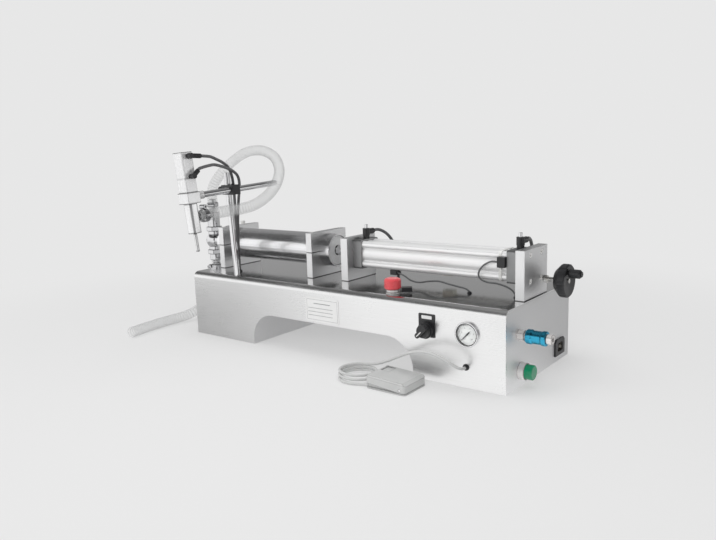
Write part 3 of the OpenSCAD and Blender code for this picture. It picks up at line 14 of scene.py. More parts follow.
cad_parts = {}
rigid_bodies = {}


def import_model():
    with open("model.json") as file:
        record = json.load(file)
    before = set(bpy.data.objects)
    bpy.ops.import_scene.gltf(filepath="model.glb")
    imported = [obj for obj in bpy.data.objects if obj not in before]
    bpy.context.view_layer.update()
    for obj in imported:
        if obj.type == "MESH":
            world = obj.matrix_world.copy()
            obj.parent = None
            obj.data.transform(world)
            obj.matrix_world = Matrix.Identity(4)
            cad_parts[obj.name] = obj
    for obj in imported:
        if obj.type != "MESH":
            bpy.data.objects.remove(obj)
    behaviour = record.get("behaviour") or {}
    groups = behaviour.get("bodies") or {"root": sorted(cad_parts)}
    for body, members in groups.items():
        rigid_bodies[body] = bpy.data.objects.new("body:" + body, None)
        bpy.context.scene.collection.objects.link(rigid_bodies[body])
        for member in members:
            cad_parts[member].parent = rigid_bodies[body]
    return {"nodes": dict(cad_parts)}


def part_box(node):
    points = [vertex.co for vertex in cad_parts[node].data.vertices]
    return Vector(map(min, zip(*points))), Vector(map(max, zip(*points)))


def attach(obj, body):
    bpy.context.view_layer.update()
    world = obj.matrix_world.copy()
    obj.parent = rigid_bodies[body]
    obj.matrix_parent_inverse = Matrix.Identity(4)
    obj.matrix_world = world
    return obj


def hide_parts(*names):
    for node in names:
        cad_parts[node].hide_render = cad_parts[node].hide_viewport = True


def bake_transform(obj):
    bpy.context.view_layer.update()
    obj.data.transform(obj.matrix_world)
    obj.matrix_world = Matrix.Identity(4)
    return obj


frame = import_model()
for spare in [o for o in bpy.data.objects if o.name in ("Cube", "Light", "Camera")]:
    bpy.data.objects.remove(spare)
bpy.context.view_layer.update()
base_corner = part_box("base_housing")[0]


def place(x, y, z):
    """A point given in millimetres from the base's left front corner on the floor, in the frame's metres."""
    return Vector((base_corner.x + x / 1000, base_corner.y + y / 1000, z / 1000))


# %% [markdown]
# ## Camera
# The picture looks at the right front corner from a little above the cylinders. Three angles and a lens say that
# fully: the camera's own axes are built from yaw, pitch and roll, and become the columns of its matrix.

# %% Camera
PICTURE_WIDTH = 716
FOCAL_PIXELS = 691.3
yaw, pitch, roll = (math.radians(a) for a in (37.83, 10.21, -1.94))
ahead = Vector((-math.sin(yaw) * math.cos(pitch), math.cos(yaw) * math.cos(pitch), -math.sin(pitch)))
level = ahead.cross(Vector((0, 0, 1))).normalized()
upright = level.cross(ahead)
right = math.cos(roll) * level + math.sin(roll) * upright
up = math.cos(roll) * upright - math.sin(roll) * level
lens = bpy.data.cameras.new("portrait_camera")
lens.sensor_width = 36
lens.lens = FOCAL_PIXELS / PICTURE_WIDTH * lens.sensor_width
camera = bpy.data.objects.new("portrait_camera", lens)
camera.matrix_world = Matrix((right, up, -ahead)).transposed().to_4x4()
camera.location = place(1196.6, -956.1, 395.9)
bpy.context.collection.objects.link(camera)
bpy.context.scene.camera = camera
print("camera at", [round(v, 3) for v in camera.location], "lens", round(lens.lens, 2), "mm")

# %% [markdown]
# ## Routes of the hoses and leads
# A hose has a length and a stiffness, and hangs or lies where those let it. Each route is a short list of points
# in millimetres, and a smooth line goes through all of them. A Bezier curve could do it too, but this line passes
# the points themselves, so it stays where the solids in the frame are.

# %% Smooth lines
def smooth_line(points, steps=8):
    """A smooth line through points, with so many steps from each to the next."""
    ends = [2 * points[0] - points[1], *points, 2 * points[-1] - points[-2]]
    line = []
    for a, b, c, d in zip(ends, ends[1:], ends[2:], ends[3:]):
        for t in (k / steps for k in range(steps)):
            line.append((2 * b + (c - a) * t + (2 * a - 5 * b + 4 * c - d) * t ** 2
                         + (3 * b - a - 3 * c + d) * t ** 3) / 2)
    return line + [points[-1]]


def length_of(line):
    return sum((b - a).length for a, b in zip(line, line[1:]))


ROUTES = {
    "product_hose_wall": [
        (138.79, -89.697, 271.25), (138.79, -59.738, 272.82), (139.5, -22, 275), (147.4, 12.8, 276.9),
        (154.2, 42.1, 282), (158.1, 67.3, 292.1), (159.5, 91, 306.7), (154.5, 115.9, 326.6), (137.4, 141.4, 352.5),
        (103.7, 161, 377.9), (57.9, 167.7, 392.1), (13.3, 162.3, 388.2), (-22.6, 149.1, 366.4),
        (-45.1, 132.9, 339.3), (-57.6, 121.9, 315.1), (-62, 119, 296), (-62, 119, 278), (-62, 119, 256)],
    "suction_hose_wall": [
        (-62, 119, 140), (-62, 119, 120), (-62, 119, 112), (-64.6, 115.6, 90), (-71, 107, 66), (-81, 94, 42),
        (-92, 74, 24), (-102, 48, 14.5), (-107, 18, 12.6), (-106, -14, 12.4), (-102, -46, 12.4),
        (-97, -76, 12.4), (-91, -108, 12.4)],
    "upper_nozzle_tube": [
        (152.82, -86.347, 386.333), (152.864, -80.355, 386.02), (148, -58, 384), (141, -36, 378), (132, -13, 371),
        (121, 11, 360), (112, 27, 340), (106, 35, 314), (102, 39, 284), (99, 41, 254), (98, 42, 220), (98, 42, 190),
        (98, 42, 165), (98, 42, 139.5)],
    "lower_nozzle_tube": [
        (154.655, -95.72, 359.556), (154.415, -90.992, 363.241), (149, -66, 367), (143, -44, 368), (135, -16, 363),
        (126, 14, 355), (117, 38, 342), (110, 48, 322), (104, 49, 295), (98, 50, 265), (94, 51, 235), (91, 52, 205),
        (90, 52, 170), (90, 52, 139.5)],
    "front_air_line": [
        (385.5, 141, 229), (388, 151, 230), (390, 163, 227), (394, 176, 219), (398, 187, 206), (402, 195, 188),
        (404, 199, 166), (404, 200, 139.5)],
    "rear_air_line": [
        (709, 141, 229), (708, 151, 230), (706, 163, 227), (703, 176, 219), (700, 187, 206), (697, 195, 188),
        (695, 199, 166), (695, 200, 139.5)],
    "front_switch_lead": [
        (470, 100.5, 157.8), (480, 96, 157), (492, 93, 154), (506, 91, 148), (524, 90, 146), (546, 90, 150),
        (566, 90, 152), (586, 90, 149), (606, 90, 146), (620, 90, 144), (628, 90, 139.5)],
    "rear_switch_lead": [
        (682, 89.3, 196), (670, 87, 196), (656, 87, 188), (647, 88, 176), (648, 90, 165), (660, 92, 159),
        (678, 93, 158), (695, 94, 154), (706, 95, 148), (712, 96, 139.5)],
}
lines = {name: smooth_line([place(*p) for p in points]) for name, points in ROUTES.items()}
print({name: round(length_of(line), 3) for name, line in lines.items()})

# %% [markdown]
# The pedal's lead leaves the gland in the front, falls into two oval loops on the floor and goes into the pedal.
# The loops follow a rule, an ellipse that sinks by one pitch a turn and grows a little towards one end, so they come
# from a formula.

# %% The pedal lead's line
LOOP_CENTRE, LOOP_HALVES, LOOP_TURN = (488, -53), (27, 32), math.radians(128)
LOOP_PITCH, LOOP_SPREAD, LEAD_LOW = 5.6, 5, 2.7
LOOP_FROM, LOOP_TO, LOOP_STEPS = -45, 885, 62


def loop_point(degrees):
    a = math.radians(degrees)
    grow = LOOP_SPREAD / 2 * (degrees - LOOP_FROM) / 360
    along, across = (LOOP_HALVES[0] + grow) * math.cos(a) - grow, LOOP_HALVES[1] * math.sin(a)
    return (LOOP_CENTRE[0] + along * math.cos(LOOP_TURN) - across * math.sin(LOOP_TURN),
            LOOP_CENTRE[1] + along * math.sin(LOOP_TURN) + across * math.cos(LOOP_TURN),
            LEAD_LOW + LOOP_PITCH * (LOOP_TO - degrees) / 360)


gland_run = [(670, -4, 35), (670, -9, 35), (669, -17, 37), (666, -24.5, 41), (660.5, -30, 46.3), (652, -33.5, 51.8),
             (640, -35.3, 57), (626, -36, 60.5), (610, -36, 61), (592, -35.5, 57.5), (574, -34.5, 50.8),
             (555.7, -33, 41.8), (538, -31, 33), (522, -29, 26), (508, -27, 21)]
loops = [loop_point(LOOP_FROM + (LOOP_TO - LOOP_FROM) * k / LOOP_STEPS) for k in range(LOOP_STEPS + 1)]
out = loops[-1]
pedal_run = [(out[0] + 7.3, out[1] + 2.5, LEAD_LOW), (out[0] + 14, out[1] + 5, LEAD_LOW),
             (523.5, out[1] + 6.9, LEAD_LOW), (530, out[1] + 7.4, LEAD_LOW)]
lines["pedal_lead"] = smooth_line([place(*p) for p in gland_run + loops + pedal_run], 4)
print("pedal lead", round(length_of(lines["pedal_lead"]), 3), "m")

# %% [markdown]
# ## Node helper
# Both the finishes and the Geometry Nodes trees are built in code. One helper makes a node, sets it up and fills
# its inputs, either with a value or with a link from another node.

# %% Node helper
def node(tree, kind, inputs=None, **settings):
    """A new node. Its inputs are given by name or number, as values or as outputs to link from."""
    made = tree.nodes.new(kind)
    for key, value in settings.items():
        setattr(made, key, value)
    for socket, source in (inputs or {}).items():
        if isinstance(source, bpy.types.NodeSocket):
            tree.links.new(source, made.inputs[socket])
        else:
            made.inputs[socket].default_value = source
    return made


def math_node(tree, operation, a, b=0.0):
    return node(tree, "ShaderNodeMath", {0: a, 1: b}, operation=operation).outputs[0]


def vector_node(tree, operation, a, b=(0, 0, 0)):
    """The result of a Vector Math node: a number from a length or a product, and else a vector."""
    made = node(tree, "ShaderNodeVectorMath", {0: a, 1: b}, operation=operation)
    return made.outputs["Value" if operation in ("DOT_PRODUCT", "LENGTH", "DISTANCE") else "Vector"]


def new_finish(name, colour, **sockets):
    """A material with these constants on its shader's own sockets, and its tree, shader and object coordinates."""
    material = bpy.data.materials.new(name)
    material.use_nodes = True
    tree = material.node_tree
    shader = tree.nodes["Principled BSDF"]
    shader.inputs["Base Color"].default_value = (*colour, 1)
    for socket, value in sockets.items():
        shader.inputs[socket.replace("_", " ")].default_value = value
    coords = node(tree, "ShaderNodeTexCoord").outputs
    return material, tree, shader, coords


def noise(tree, vector, scale, detail=3.0):
    return node(tree, "ShaderNodeTexNoise", {"Vector": vector, "Scale": scale, "Detail": detail}).outputs["Fac"]


def spread(tree, value, low, high):
    """A noise's value, spread from low to high."""
    return node(tree, "ShaderNodeMapRange", {0: value, 1: 0.3, 2: 0.7, 3: low, 4: high}).outputs[0]


def relief(tree, shader, height, strength, depth, edge=0.0):
    """Fine relief from a height, and sharp corners that catch the light as if broken to this radius."""
    bump = node(tree, "ShaderNodeBump", {"Height": height, "Strength": strength, "Distance": depth})
    if edge:
        tree.links.new(node(tree, "ShaderNodeBevel", {"Radius": edge}, samples=6).outputs[0], bump.inputs["Normal"])
    tree.links.new(bump.outputs[0], shader.inputs["Normal"])


def two_tone(tree, shader, factor, first, second):
    mix = node(tree, "ShaderNodeMix", {0: factor, 6: (*first, 1), 7: (*second, 1)}, data_type="RGBA")
    tree.links.new(mix.outputs[2], shader.inputs["Base Color"])


# Painted edge shade: a dark tone laid on sharp corners, as the shade that a rounded edge shows.
EDGE_STARTS, EDGE_FULL, EDGE_SHADE_TONE = 0.995, 0.92, (0.06, 0.06, 0.06, 1)


def painted_edge_shade(tree, shader, width, amount=0.85):
    """Painted shade: darkens the colour at sharp corners, where the normal of a rounded corner would leave that of
    the face.
    """
    rounded = node(tree, "ShaderNodeBevel", {"Radius": width}, samples=8).outputs[0]
    flat = node(tree, "ShaderNodeNewGeometry").outputs["Normal"]
    same = vector_node(tree, "DOT_PRODUCT", rounded, flat)
    corner = node(tree, "ShaderNodeMapRange", {0: same, 1: EDGE_STARTS, 2: EDGE_FULL, 3: 0.0, 4: amount}).outputs[0]
    colour = shader.inputs["Base Color"].links[0].from_socket
    dark = node(tree, "ShaderNodeMix", {0: corner, 6: colour, 7: EDGE_SHADE_TONE}, data_type="RGBA").outputs[2]
    tree.links.new(dark, shader.inputs["Base Color"])


print("node helpers ready")

# %% [markdown]
# ## Metal finishes
# Almost all of this machine is metal, and what tells its metals apart is the grain. Sheet is ground along its
# length, turned parts have rings round their axis and milled blocks have short strokes. Stretched noise gives all
# three: the stretch is the direction of the grain. The same noise moves the roughness and, very slightly, the
# surface, and a wide second noise adds the faint clouds that hands and cloths leave. Turned steel also draws its
# highlights out along the cylinder, which is what anisotropy is for.

# %% Metal finishes
def metal(name, colour, rough, stretch, scale=20.0, strength=0.06, depth=0.00002, cloud=0.03, tone=0.95,
          metallic=1.0, edge=0.0, line=0.0):
    material, tree, shader, coords = new_finish(name, colour, Metallic=metallic)
    grain_space = node(tree, "ShaderNodeMapping", {"Vector": coords["Object"], "Scale": stretch}).outputs[0]
    grain = noise(tree, grain_space, scale, 4.0)
    haze = noise(tree, coords["Object"], 14.0)
    tree.links.new(math_node(tree, "ADD", spread(tree, grain, *rough), spread(tree, haze, -cloud, cloud)),
                   shader.inputs["Roughness"])
    two_tone(tree, shader, spread(tree, grain, 0, 1), [c * tone for c in colour], colour)
    relief(tree, shader, grain, strength, depth, edge)
    # line is the width of painted edge shade: dark lines on sharp corners.
    if line:
        painted_edge_shade(tree, shader, line)
    return material


along_x, across_x, upright_strokes, fine = (1, 40, 40), (40, 1, 1), (30, 30, 2), (12, 12, 12)
satin_sheet = metal("satin_sheet_steel", (0.8, 0.8, 0.805), (0.5, 0.58), along_x)
turned_steel = metal("turned_steel", (0.84, 0.84, 0.85), (0.15, 0.21), across_x, cloud=0.02)
turned_tree = turned_steel.node_tree
turned_shader = turned_tree.nodes["Principled BSDF"]
ring_way = node(turned_tree, "ShaderNodeTangent", direction_type="RADIAL", axis="X").outputs[0]
turned_tree.links.new(ring_way, turned_shader.inputs["Tangent"])
turned_shader.inputs["Anisotropic"].default_value = 0.85
turned_shader.inputs["Anisotropic Rotation"].default_value = 0.25
# The line= widths below paint edge shade, dark lines on sharp corners, on the cast, band, block, nozzle, nickel and
# ring finishes.
cast_steel = metal("polished_cast_steel", (0.7, 0.7, 0.71), (0.08, 0.15), fine, cloud=0.03, line=0.003)
ground_rod = metal("ground_rod", (0.8, 0.8, 0.81), (0.06, 0.12), fine, cloud=0.02)
band_steel = metal("band_steel", (0.6, 0.6, 0.61), (0.18, 0.26), fine, line=0.0015)
screw_steel = metal("screw_steel", (0.92, 0.915, 0.9), (0.2, 0.3), fine, metallic=0.3)
drawn_barrel = metal("drawn_aluminium", (0.98, 0.98, 0.982), (0.28, 0.36), along_x, metallic=0.38)
bright_block = metal("bright_aluminium", (0.86, 0.86, 0.865), (0.2, 0.28), upright_strokes, metallic=0.45,
                     line=0.004)
nozzle_steel = metal("nozzle_steel", (0.86, 0.86, 0.865), (0.12, 0.2), fine, metallic=0.8, line=0.005)
dark_casting = metal("dark_casting", (0.39, 0.392, 0.395), (0.45, 0.55), fine, strength=0.2, depth=0.00006,
                     edge=0.0006)
grey_zinc = metal("grey_zinc", (0.62, 0.605, 0.54), (0.35, 0.45), fine, edge=0.0005)
blue_anodised = metal("blue_anodised", (0.05, 0.39, 0.6), (0.2, 0.3), across_x)
nickel = metal("nickel", (0.82, 0.79, 0.775), (0.12, 0.2), fine, metallic=0.5, line=0.0015)
bright_ring = metal("bright_ring", (0.88, 0.86, 0.85), (0.12, 0.2), fine, metallic=0.45, line=0.0015)
chrome = metal("chrome", (0.84, 0.84, 0.85), (0.04, 0.1), fine, cloud=0.02)
print("metal finishes", len(bpy.data.materials))

# %% [markdown]
# The base is one sheet with two finishes: the deck is polished like a mirror, and the walls keep a satin grain.
# The surface normal in object space tells them apart, so one material follows the bend from one to the other.

# %% Base sheet
def ramp(tree, value, start, end, low=0.0, high=1.0):
    """A soft step: low up to the start, high from the end on."""
    return node(tree, "ShaderNodeMapRange", {0: value, 1: start, 2: end, 3: low, 4: high},
                interpolation_type="SMOOTHSTEP").outputs[0]


def base_sheet():
    material, tree, shader, coords = new_finish("base_sheet_steel", (0.82, 0.82, 0.825), Metallic=1.0)
    deck = ramp(tree, node(tree, "ShaderNodeSeparateXYZ", {0: coords["Normal"]}).outputs[2], 0.55, 0.98)
    grain_space = node(tree, "ShaderNodeMapping", {"Vector": coords["Object"], "Scale": along_x}).outputs[0]
    grain = noise(tree, grain_space, 22.0, 4.0)
    haze = noise(tree, coords["Object"], 10.0)
    walls = math_node(tree, "ADD", spread(tree, grain, 0.27, 0.33), spread(tree, haze, -0.03, 0.03))
    polish = math_node(tree, "ADD", spread(tree, grain, 0.12, 0.16), spread(tree, haze, -0.02, 0.02))
    rough = node(tree, "ShaderNodeMix", {0: deck, 2: walls, 3: polish}).outputs[0]
    tree.links.new(rough, shader.inputs["Roughness"])
    grey = node(tree, "ShaderNodeMix", {0: deck, 2: spread(tree, grain, 0.79, 0.83), 3: 0.66}).outputs[0]
    tree.links.new(grey, shader.inputs["Base Color"])
    relief(tree, shader, grain, 0.05, 0.00002)
    return material


base_steel = base_sheet()
print("base sheet ready")

# %% [markdown]
# ## Plastic and rubber finishes
# Moulded parts carry a fine spark-eroded texture and are a little shinier where they are handled. A fine noise is
# the texture and a wide one the shine.

# %% Plastics
# How dark the painted edge shade is on moulded parts.
SOFT_EDGE_SHADE = 0.45


def moulded(name, colour, rough, texture=1600.0, strength=0.25, depth=0.00006, tone=0.82, line=0.0, **sockets):
    material, tree, shader, coords = new_finish(name, colour, **sockets)
    pores = noise(tree, coords["Object"], texture, 2.0)
    wear = noise(tree, coords["Object"], 45.0)
    tree.links.new(spread(tree, wear, *rough), shader.inputs["Roughness"])
    two_tone(tree, shader, spread(tree, wear, 0, 1), [c * tone for c in colour], colour)
    # line paints edge shade: dark lines on sharp corners.
    if line:
        painted_edge_shade(tree, shader, line, SOFT_EDGE_SHADE)
    relief(tree, shader, pores, strength, depth)
    return material


black_moulding = moulded("black_moulding", (0.022, 0.022, 0.024), (0.3, 0.45))
black_rubber = moulded("black_rubber", (0.016, 0.016, 0.016), (0.55, 0.7))
tube_nylon = moulded("tube_nylon", (0.14, 0.14, 0.145), (0.28, 0.4), strength=0.1)
lead_sheath = moulded("lead_sheath", (0.13, 0.132, 0.136), (0.4, 0.5), strength=0.15)
red_cap = moulded("red_cap", (0.78, 0.09, 0.105), (0.22, 0.34), strength=0.1)
green_cap = moulded("green_cap", (0.008, 0.3, 0.14), (0.16, 0.28), strength=0.05)
# The pedal's edges get painted shade lines.
pedal_grey = moulded("pedal_grey", (0.58, 0.585, 0.58), (0.42, 0.55), texture=900.0, strength=0.3, tone=0.92,
                     line=0.0025)
sheath_grey = moulded("sheath_grey", (0.6, 0.605, 0.6), (0.4, 0.52), strength=0.15, tone=0.92)
print("plastic finishes ready")

# %% [markdown]
# ## Clear hose
# Clear hose is a thick wall of soft vinyl with a wound spiral in it. Refraction through so many walls would need
# far more samples than a picture of a machine gets, so the wall is a thin film that lets most light straight on, and
# an absorption between the films makes it greyer where more of it lies in line. The ridge that the spiral raises
# follows the hose by its own UV map: once round for u, and metres along for v.

# %% Hose finishes
SPIRAL_PITCH = 0.0065


def hose_vinyl():
    material, tree, shader, coords = new_finish("hose_vinyl", (0.95, 0.955, 0.955), Alpha=0.13)
    across, along, _ = node(tree, "ShaderNodeSeparateXYZ", {0: coords["UV"]}).outputs
    phase = math_node(tree, "SUBTRACT", math_node(tree, "DIVIDE", along, SPIRAL_PITCH), across)
    ridge = math_node(tree, "SINE", math_node(tree, "MULTIPLY", phase, 2 * math.pi))
    haze = noise(tree, coords["Object"], 60.0)
    tree.links.new(spread(tree, haze, 0.2, 0.28), shader.inputs["Roughness"])
    relief(tree, shader, ridge, 0.06, 0.0002)
    greying = node(tree, "ShaderNodeVolumeAbsorption", {"Color": (0.05, 0.05, 0.05, 1), "Density": 13.0}).outputs[0]
    tree.links.new(greying, tree.nodes["Material Output"].inputs["Volume"])
    return material


clear_vinyl = hose_vinyl()
spiral_vinyl = moulded("spiral_vinyl", (0.72, 0.73, 0.73), (0.3, 0.4), strength=0.05, tone=0.95, Alpha=0.3)
print("hose finishes ready")

# %% [markdown]
# ## Tubes along the routes
# A tube is a ring carried along its line without twisting. Curve bevels do that too, but a mesh lets us cut the
# bore and lay the UV map that the spiral ridge needs. Faces are wound so that they point outwards.

# %% Swept tubes
def add_piece(name, mesh, material):
    """An object at the origin, with its place in its mesh."""
    mesh.materials.clear()
    mesh.materials.append(material)
    piece = bpy.data.objects.new(name, mesh)
    bpy.context.collection.objects.link(piece)
    return piece


def rings_along(line, radius, sides):
    """Rings of points round a line, each turned from the last without a twist."""
    points, side = [], None
    for i, centre in enumerate(line):
        way = (line[min(i + 1, len(line) - 1)] - line[max(i - 1, 0)]).normalized()
        if side is None:
            side = way.orthogonal()
        side = (side - side.dot(way) * way).normalized()
        other = way.cross(side)
        for k in range(sides):
            a = 2 * math.pi * k / sides
            points.append(centre + radius * (math.cos(a) * side + math.sin(a) * other))
    return points


def swept_tube(name, line, diameter, material, bore=0.0, sides=20):
    count = len(line)
    points = rings_along(line, diameter / 2, sides)
    marks = [0.0]
    for a, b in zip(line, line[1:]):
        marks.append(marks[-1] + (b - a).length)
    faces, uvs = [], []
    for wall in range(2 if bore else 1):
        first = wall * count * sides
        for i in range(count - 1):
            for k in range(sides):
                n = (k + 1) % sides
                quad = [(i, k, k), (i, n, k + 1), (i + 1, n, k + 1), (i + 1, k, k)]
                quad = quad[::-1] if wall else quad
                faces.append([first + r * sides + c for r, c, _ in quad])
                uvs.append([(u / sides, marks[r]) for r, _, u in quad])
    if bore:
        points += rings_along(line, bore / 2, sides)
    for end in (0, count - 1):
        ring = [end * sides + k for k in range(sides)]
        inner = [count * sides + v for v in ring]
        caps = [[ring[k], inner[k], inner[(k + 1) % sides], ring[(k + 1) % sides]] for k in range(sides)] if bore \
            else [ring[::-1]]
        for cap in caps:
            faces.append(cap if end == 0 else cap[::-1])
            uvs.append([(0.0, marks[end])] * len(cap))
    mesh = bpy.data.meshes.new(name)
    mesh.from_pydata(points, [], faces)
    layer = mesh.uv_layers.new(name="along")
    for loop, uv in zip(layer.data, [uv for corner in uvs for uv in corner]):
        loop.uv = uv
    mesh.polygons.foreach_set("use_smooth", [len(f) == 4 for f in faces])
    return add_piece(name, mesh, material)


HOSE, HOSE_BORE = 0.024, 0.017
product_hose = swept_tube("product_hose_wall", lines["product_hose_wall"], HOSE, clear_vinyl, HOSE_BORE, 28)
suction_hose = swept_tube("suction_hose_wall", lines["suction_hose_wall"], HOSE, clear_vinyl, HOSE_BORE, 28)
SMALL_TUBES = [
    ("upper_nozzle_tube", 0.006, tube_nylon, ["nozzle_tubes"], "hanging"),
    ("lower_nozzle_tube", 0.006, tube_nylon, ["nozzle_tubes"], "hanging"),
    ("front_air_line", 0.006, tube_nylon, ["cylinder_lines"], "hanging"),
    ("rear_air_line", 0.006, tube_nylon, ["cylinder_lines"], "hanging"),
    ("front_switch_lead", 0.003, lead_sheath, ["cylinder_lines"], "loose"),
    ("rear_switch_lead", 0.003, lead_sheath, ["cylinder_lines"], "loose"),
    ("pedal_lead", 0.005, sheath_grey, ["pedal_cable", "pedal_coil"], "coiled"),
]
small_tubes = {name: swept_tube(name, lines[name], diameter, material)
               for name, diameter, material, _, _ in SMALL_TUBES}
print("tubes", [p.name for p in (product_hose, suction_hose, *small_tubes.values())])

# %% [markdown]
# ## The spiral in the hose wall
# The spiral is a rule along a path, which is what Geometry Nodes do well. The tree turns the hose's line into a
# curve, moves every point of it out to the side by an angle that grows with the length, and sweeps a thin profile
# along the result. The finished mesh is taken from the evaluated object, and the modifier goes.

# %% Spiral tree
def tree_with_inputs(name, inputs):
    """A Geometry Nodes tree with these named inputs, and its group input and output nodes."""
    tree = bpy.data.node_groups.new(name, "GeometryNodeTree")
    tree.interface.new_socket("Geometry", in_out="INPUT", socket_type="NodeSocketGeometry")
    tree.interface.new_socket("Geometry", in_out="OUTPUT", socket_type="NodeSocketGeometry")
    for title, kind in inputs.items():
        tree.interface.new_socket(title, in_out="INPUT", socket_type=kind)
    return tree, node(tree, "NodeGroupInput").outputs


def end_tree(tree, shape, material):
    """The last nodes of every tree: real geometry and its finish."""
    real = node(tree, "GeometryNodeRealizeInstances", {0: shape}).outputs[0]
    painted = node(tree, "GeometryNodeSetMaterial", {"Geometry": real, "Material": material}).outputs[0]
    node(tree, "NodeGroupOutput", {0: painted})


def grown(name, base_mesh, tree, values, material, at=Matrix()):
    """The plain mesh that a tree makes of a base mesh, put in its place."""
    seed = bpy.data.objects.new(name + "_seed", base_mesh)
    bpy.context.collection.objects.link(seed)
    modifier = seed.modifiers.new("tree", "NODES")
    modifier.node_group = tree
    sockets = {s.name: s.identifier for s in tree.interface.items_tree if s.in_out == "INPUT"}
    for title, value in values.items():
        modifier[sockets[title]] = value
    modifier[sockets["Finish"]] = material
    graph = bpy.context.evaluated_depsgraph_get()
    mesh = bpy.data.meshes.new_from_object(seed.evaluated_get(graph), depsgraph=graph)
    bpy.data.objects.remove(seed)
    mesh.name = name
    mesh.transform(at)
    return add_piece(name, mesh, material)


STEPS_PER_TURN = 16.0


def spiral_tree():
    tree, given = tree_with_inputs("hose_spiral", {
        "Radius": "NodeSocketFloat", "Pitch": "NodeSocketFloat", "Wire": "NodeSocketFloat",
        "Finish": "NodeSocketMaterial"})
    path = node(tree, "GeometryNodeMeshToCurve", {"Mesh": given["Geometry"]}).outputs[0]
    step = math_node(tree, "DIVIDE", given["Pitch"], STEPS_PER_TURN)
    path = node(tree, "GeometryNodeResampleCurve", {"Curve": path, "Length": step}, mode="LENGTH").outputs[0]
    along = node(tree, "GeometryNodeSplineParameter").outputs["Length"]
    turn = math_node(tree, "MULTIPLY", math_node(tree, "DIVIDE", along, given["Pitch"]), 2 * math.pi)
    way = node(tree, "GeometryNodeInputTangent").outputs[0]
    out = node(tree, "GeometryNodeInputNormal").outputs[0]
    aside = node(tree, "ShaderNodeVectorMath", {0: out, "Scale": given["Radius"]}, operation="SCALE").outputs[0]
    offset = node(tree, "ShaderNodeVectorRotate", {"Vector": aside, "Axis": way, "Angle": turn}).outputs[0]
    wound = node(tree, "GeometryNodeSetPosition", {"Geometry": path, "Offset": offset}).outputs[0]
    profile = node(tree, "GeometryNodeCurvePrimitiveCircle", {"Resolution": 6, "Radius": given["Wire"]}).outputs[0]
    shape = node(tree, "GeometryNodeCurveToMesh", {"Curve": wound, "Profile Curve": profile, "Fill Caps": True})
    smooth = node(tree, "GeometryNodeSetShadeSmooth", {"Geometry": shape.outputs[0]}).outputs[0]
    end_tree(tree, smooth, given["Finish"])
    return tree


def polyline(name, line):
    mesh = bpy.data.meshes.new(name)
    mesh.from_pydata(line, [(i, i + 1) for i in range(len(line) - 1)], [])
    return mesh


hose_spiral = spiral_tree()
spiral_sizes = {"Radius": 0.0104, "Pitch": SPIRAL_PITCH, "Wire": 0.0004}
product_spiral = grown("product_hose_spiral", polyline("product_line", lines["product_hose_wall"]), hose_spiral,
                       spiral_sizes, spiral_vinyl)
suction_spiral = grown("suction_hose_spiral", polyline("suction_line", lines["suction_hose_wall"]), hose_spiral,
                       spiral_sizes, spiral_vinyl)
print("spirals", len(product_spiral.data.polygons), len(suction_spiral.data.polygons), "faces")

# %% [markdown]
# ## Hoses and leads take their places
# Each one stands for the plain solid in the frame, which is hidden. The hose and the two tubes of the nozzle cross
# the stand's height setting, so they are left free in the world rather than fixed to a body. The rest ride with the
# machine.

def declare(solids):
    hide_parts(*solids)


declare(["product_hose"])
declare(["suction_hose"])
for name, diameter, _, solids, lay in SMALL_TUBES:
    declare(solids)
for piece in (product_hose, product_spiral):
    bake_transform(piece)
for name in ("upper_nozzle_tube", "lower_nozzle_tube"):
    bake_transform(small_tubes[name])
for piece in (suction_hose, suction_spiral, *(small_tubes[n] for n in (
        "front_air_line", "rear_air_line", "front_switch_lead", "rear_switch_lead", "pedal_lead"))):
    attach(piece, "machine")

# %% [markdown]
# ## Finishes that change over one solid
# Some solids join two materials or carry painted shade: the rear switch has a clear strap, the mains inlet has metal
# contacts, the volume screw is threaded between its collars with painted shade along the thread, the clamps and
# plates have painted shade as dark lines at their slit and foot, and the piston's nut and the gauge's inside are
# painted dark as shade. A box in object coordinates, or a distance from an axis, picks the part that differs.

# %% Two finishes on one solid
def inside(tree, coords, low, high):
    """1 where the object coordinates lie in a box, 0 elsewhere."""
    found = 1.0
    for value, a, b in zip(node(tree, "ShaderNodeSeparateXYZ", {0: coords["Object"]}).outputs, low, high):
        over = math_node(tree, "GREATER_THAN", value, a)
        under = math_node(tree, "LESS_THAN", value, b)
        found = math_node(tree, "MULTIPLY", math_node(tree, "MULTIPLY", over, under), found)
    return found


def worn_skin(tree, shader, coords, rough, texture=1500.0, strength=0.2, depth=0.00005):
    """A shine that changes a little from place to place, over a fine texture."""
    tree.links.new(spread(tree, noise(tree, coords["Object"], 60.0), *rough), shader.inputs["Roughness"])
    relief(tree, shader, noise(tree, coords["Object"], texture), strength, depth)


def strapped_switch():
    """A black switch block, with the pale strap that holds it to the barrel."""
    material, tree, shader, coords = new_finish("switch_and_strap", (0.02, 0.02, 0.022))
    block = inside(tree, coords, place(440, 80, 150), place(700, 93.4, 205.2))
    thin = inside(tree, coords, place(681, 80, 186.8), place(700, 93.4, 205.2))
    lower = inside(tree, coords, place(440, 80, 150), place(600, 110, 165))
    solid = math_node(tree, "MAXIMUM", math_node(tree, "MULTIPLY", block, thin), lower)
    two_tone(tree, shader, solid, (0.78, 0.78, 0.76), (0.022, 0.022, 0.024))
    worn_skin(tree, shader, coords, (0.28, 0.42))
    return material


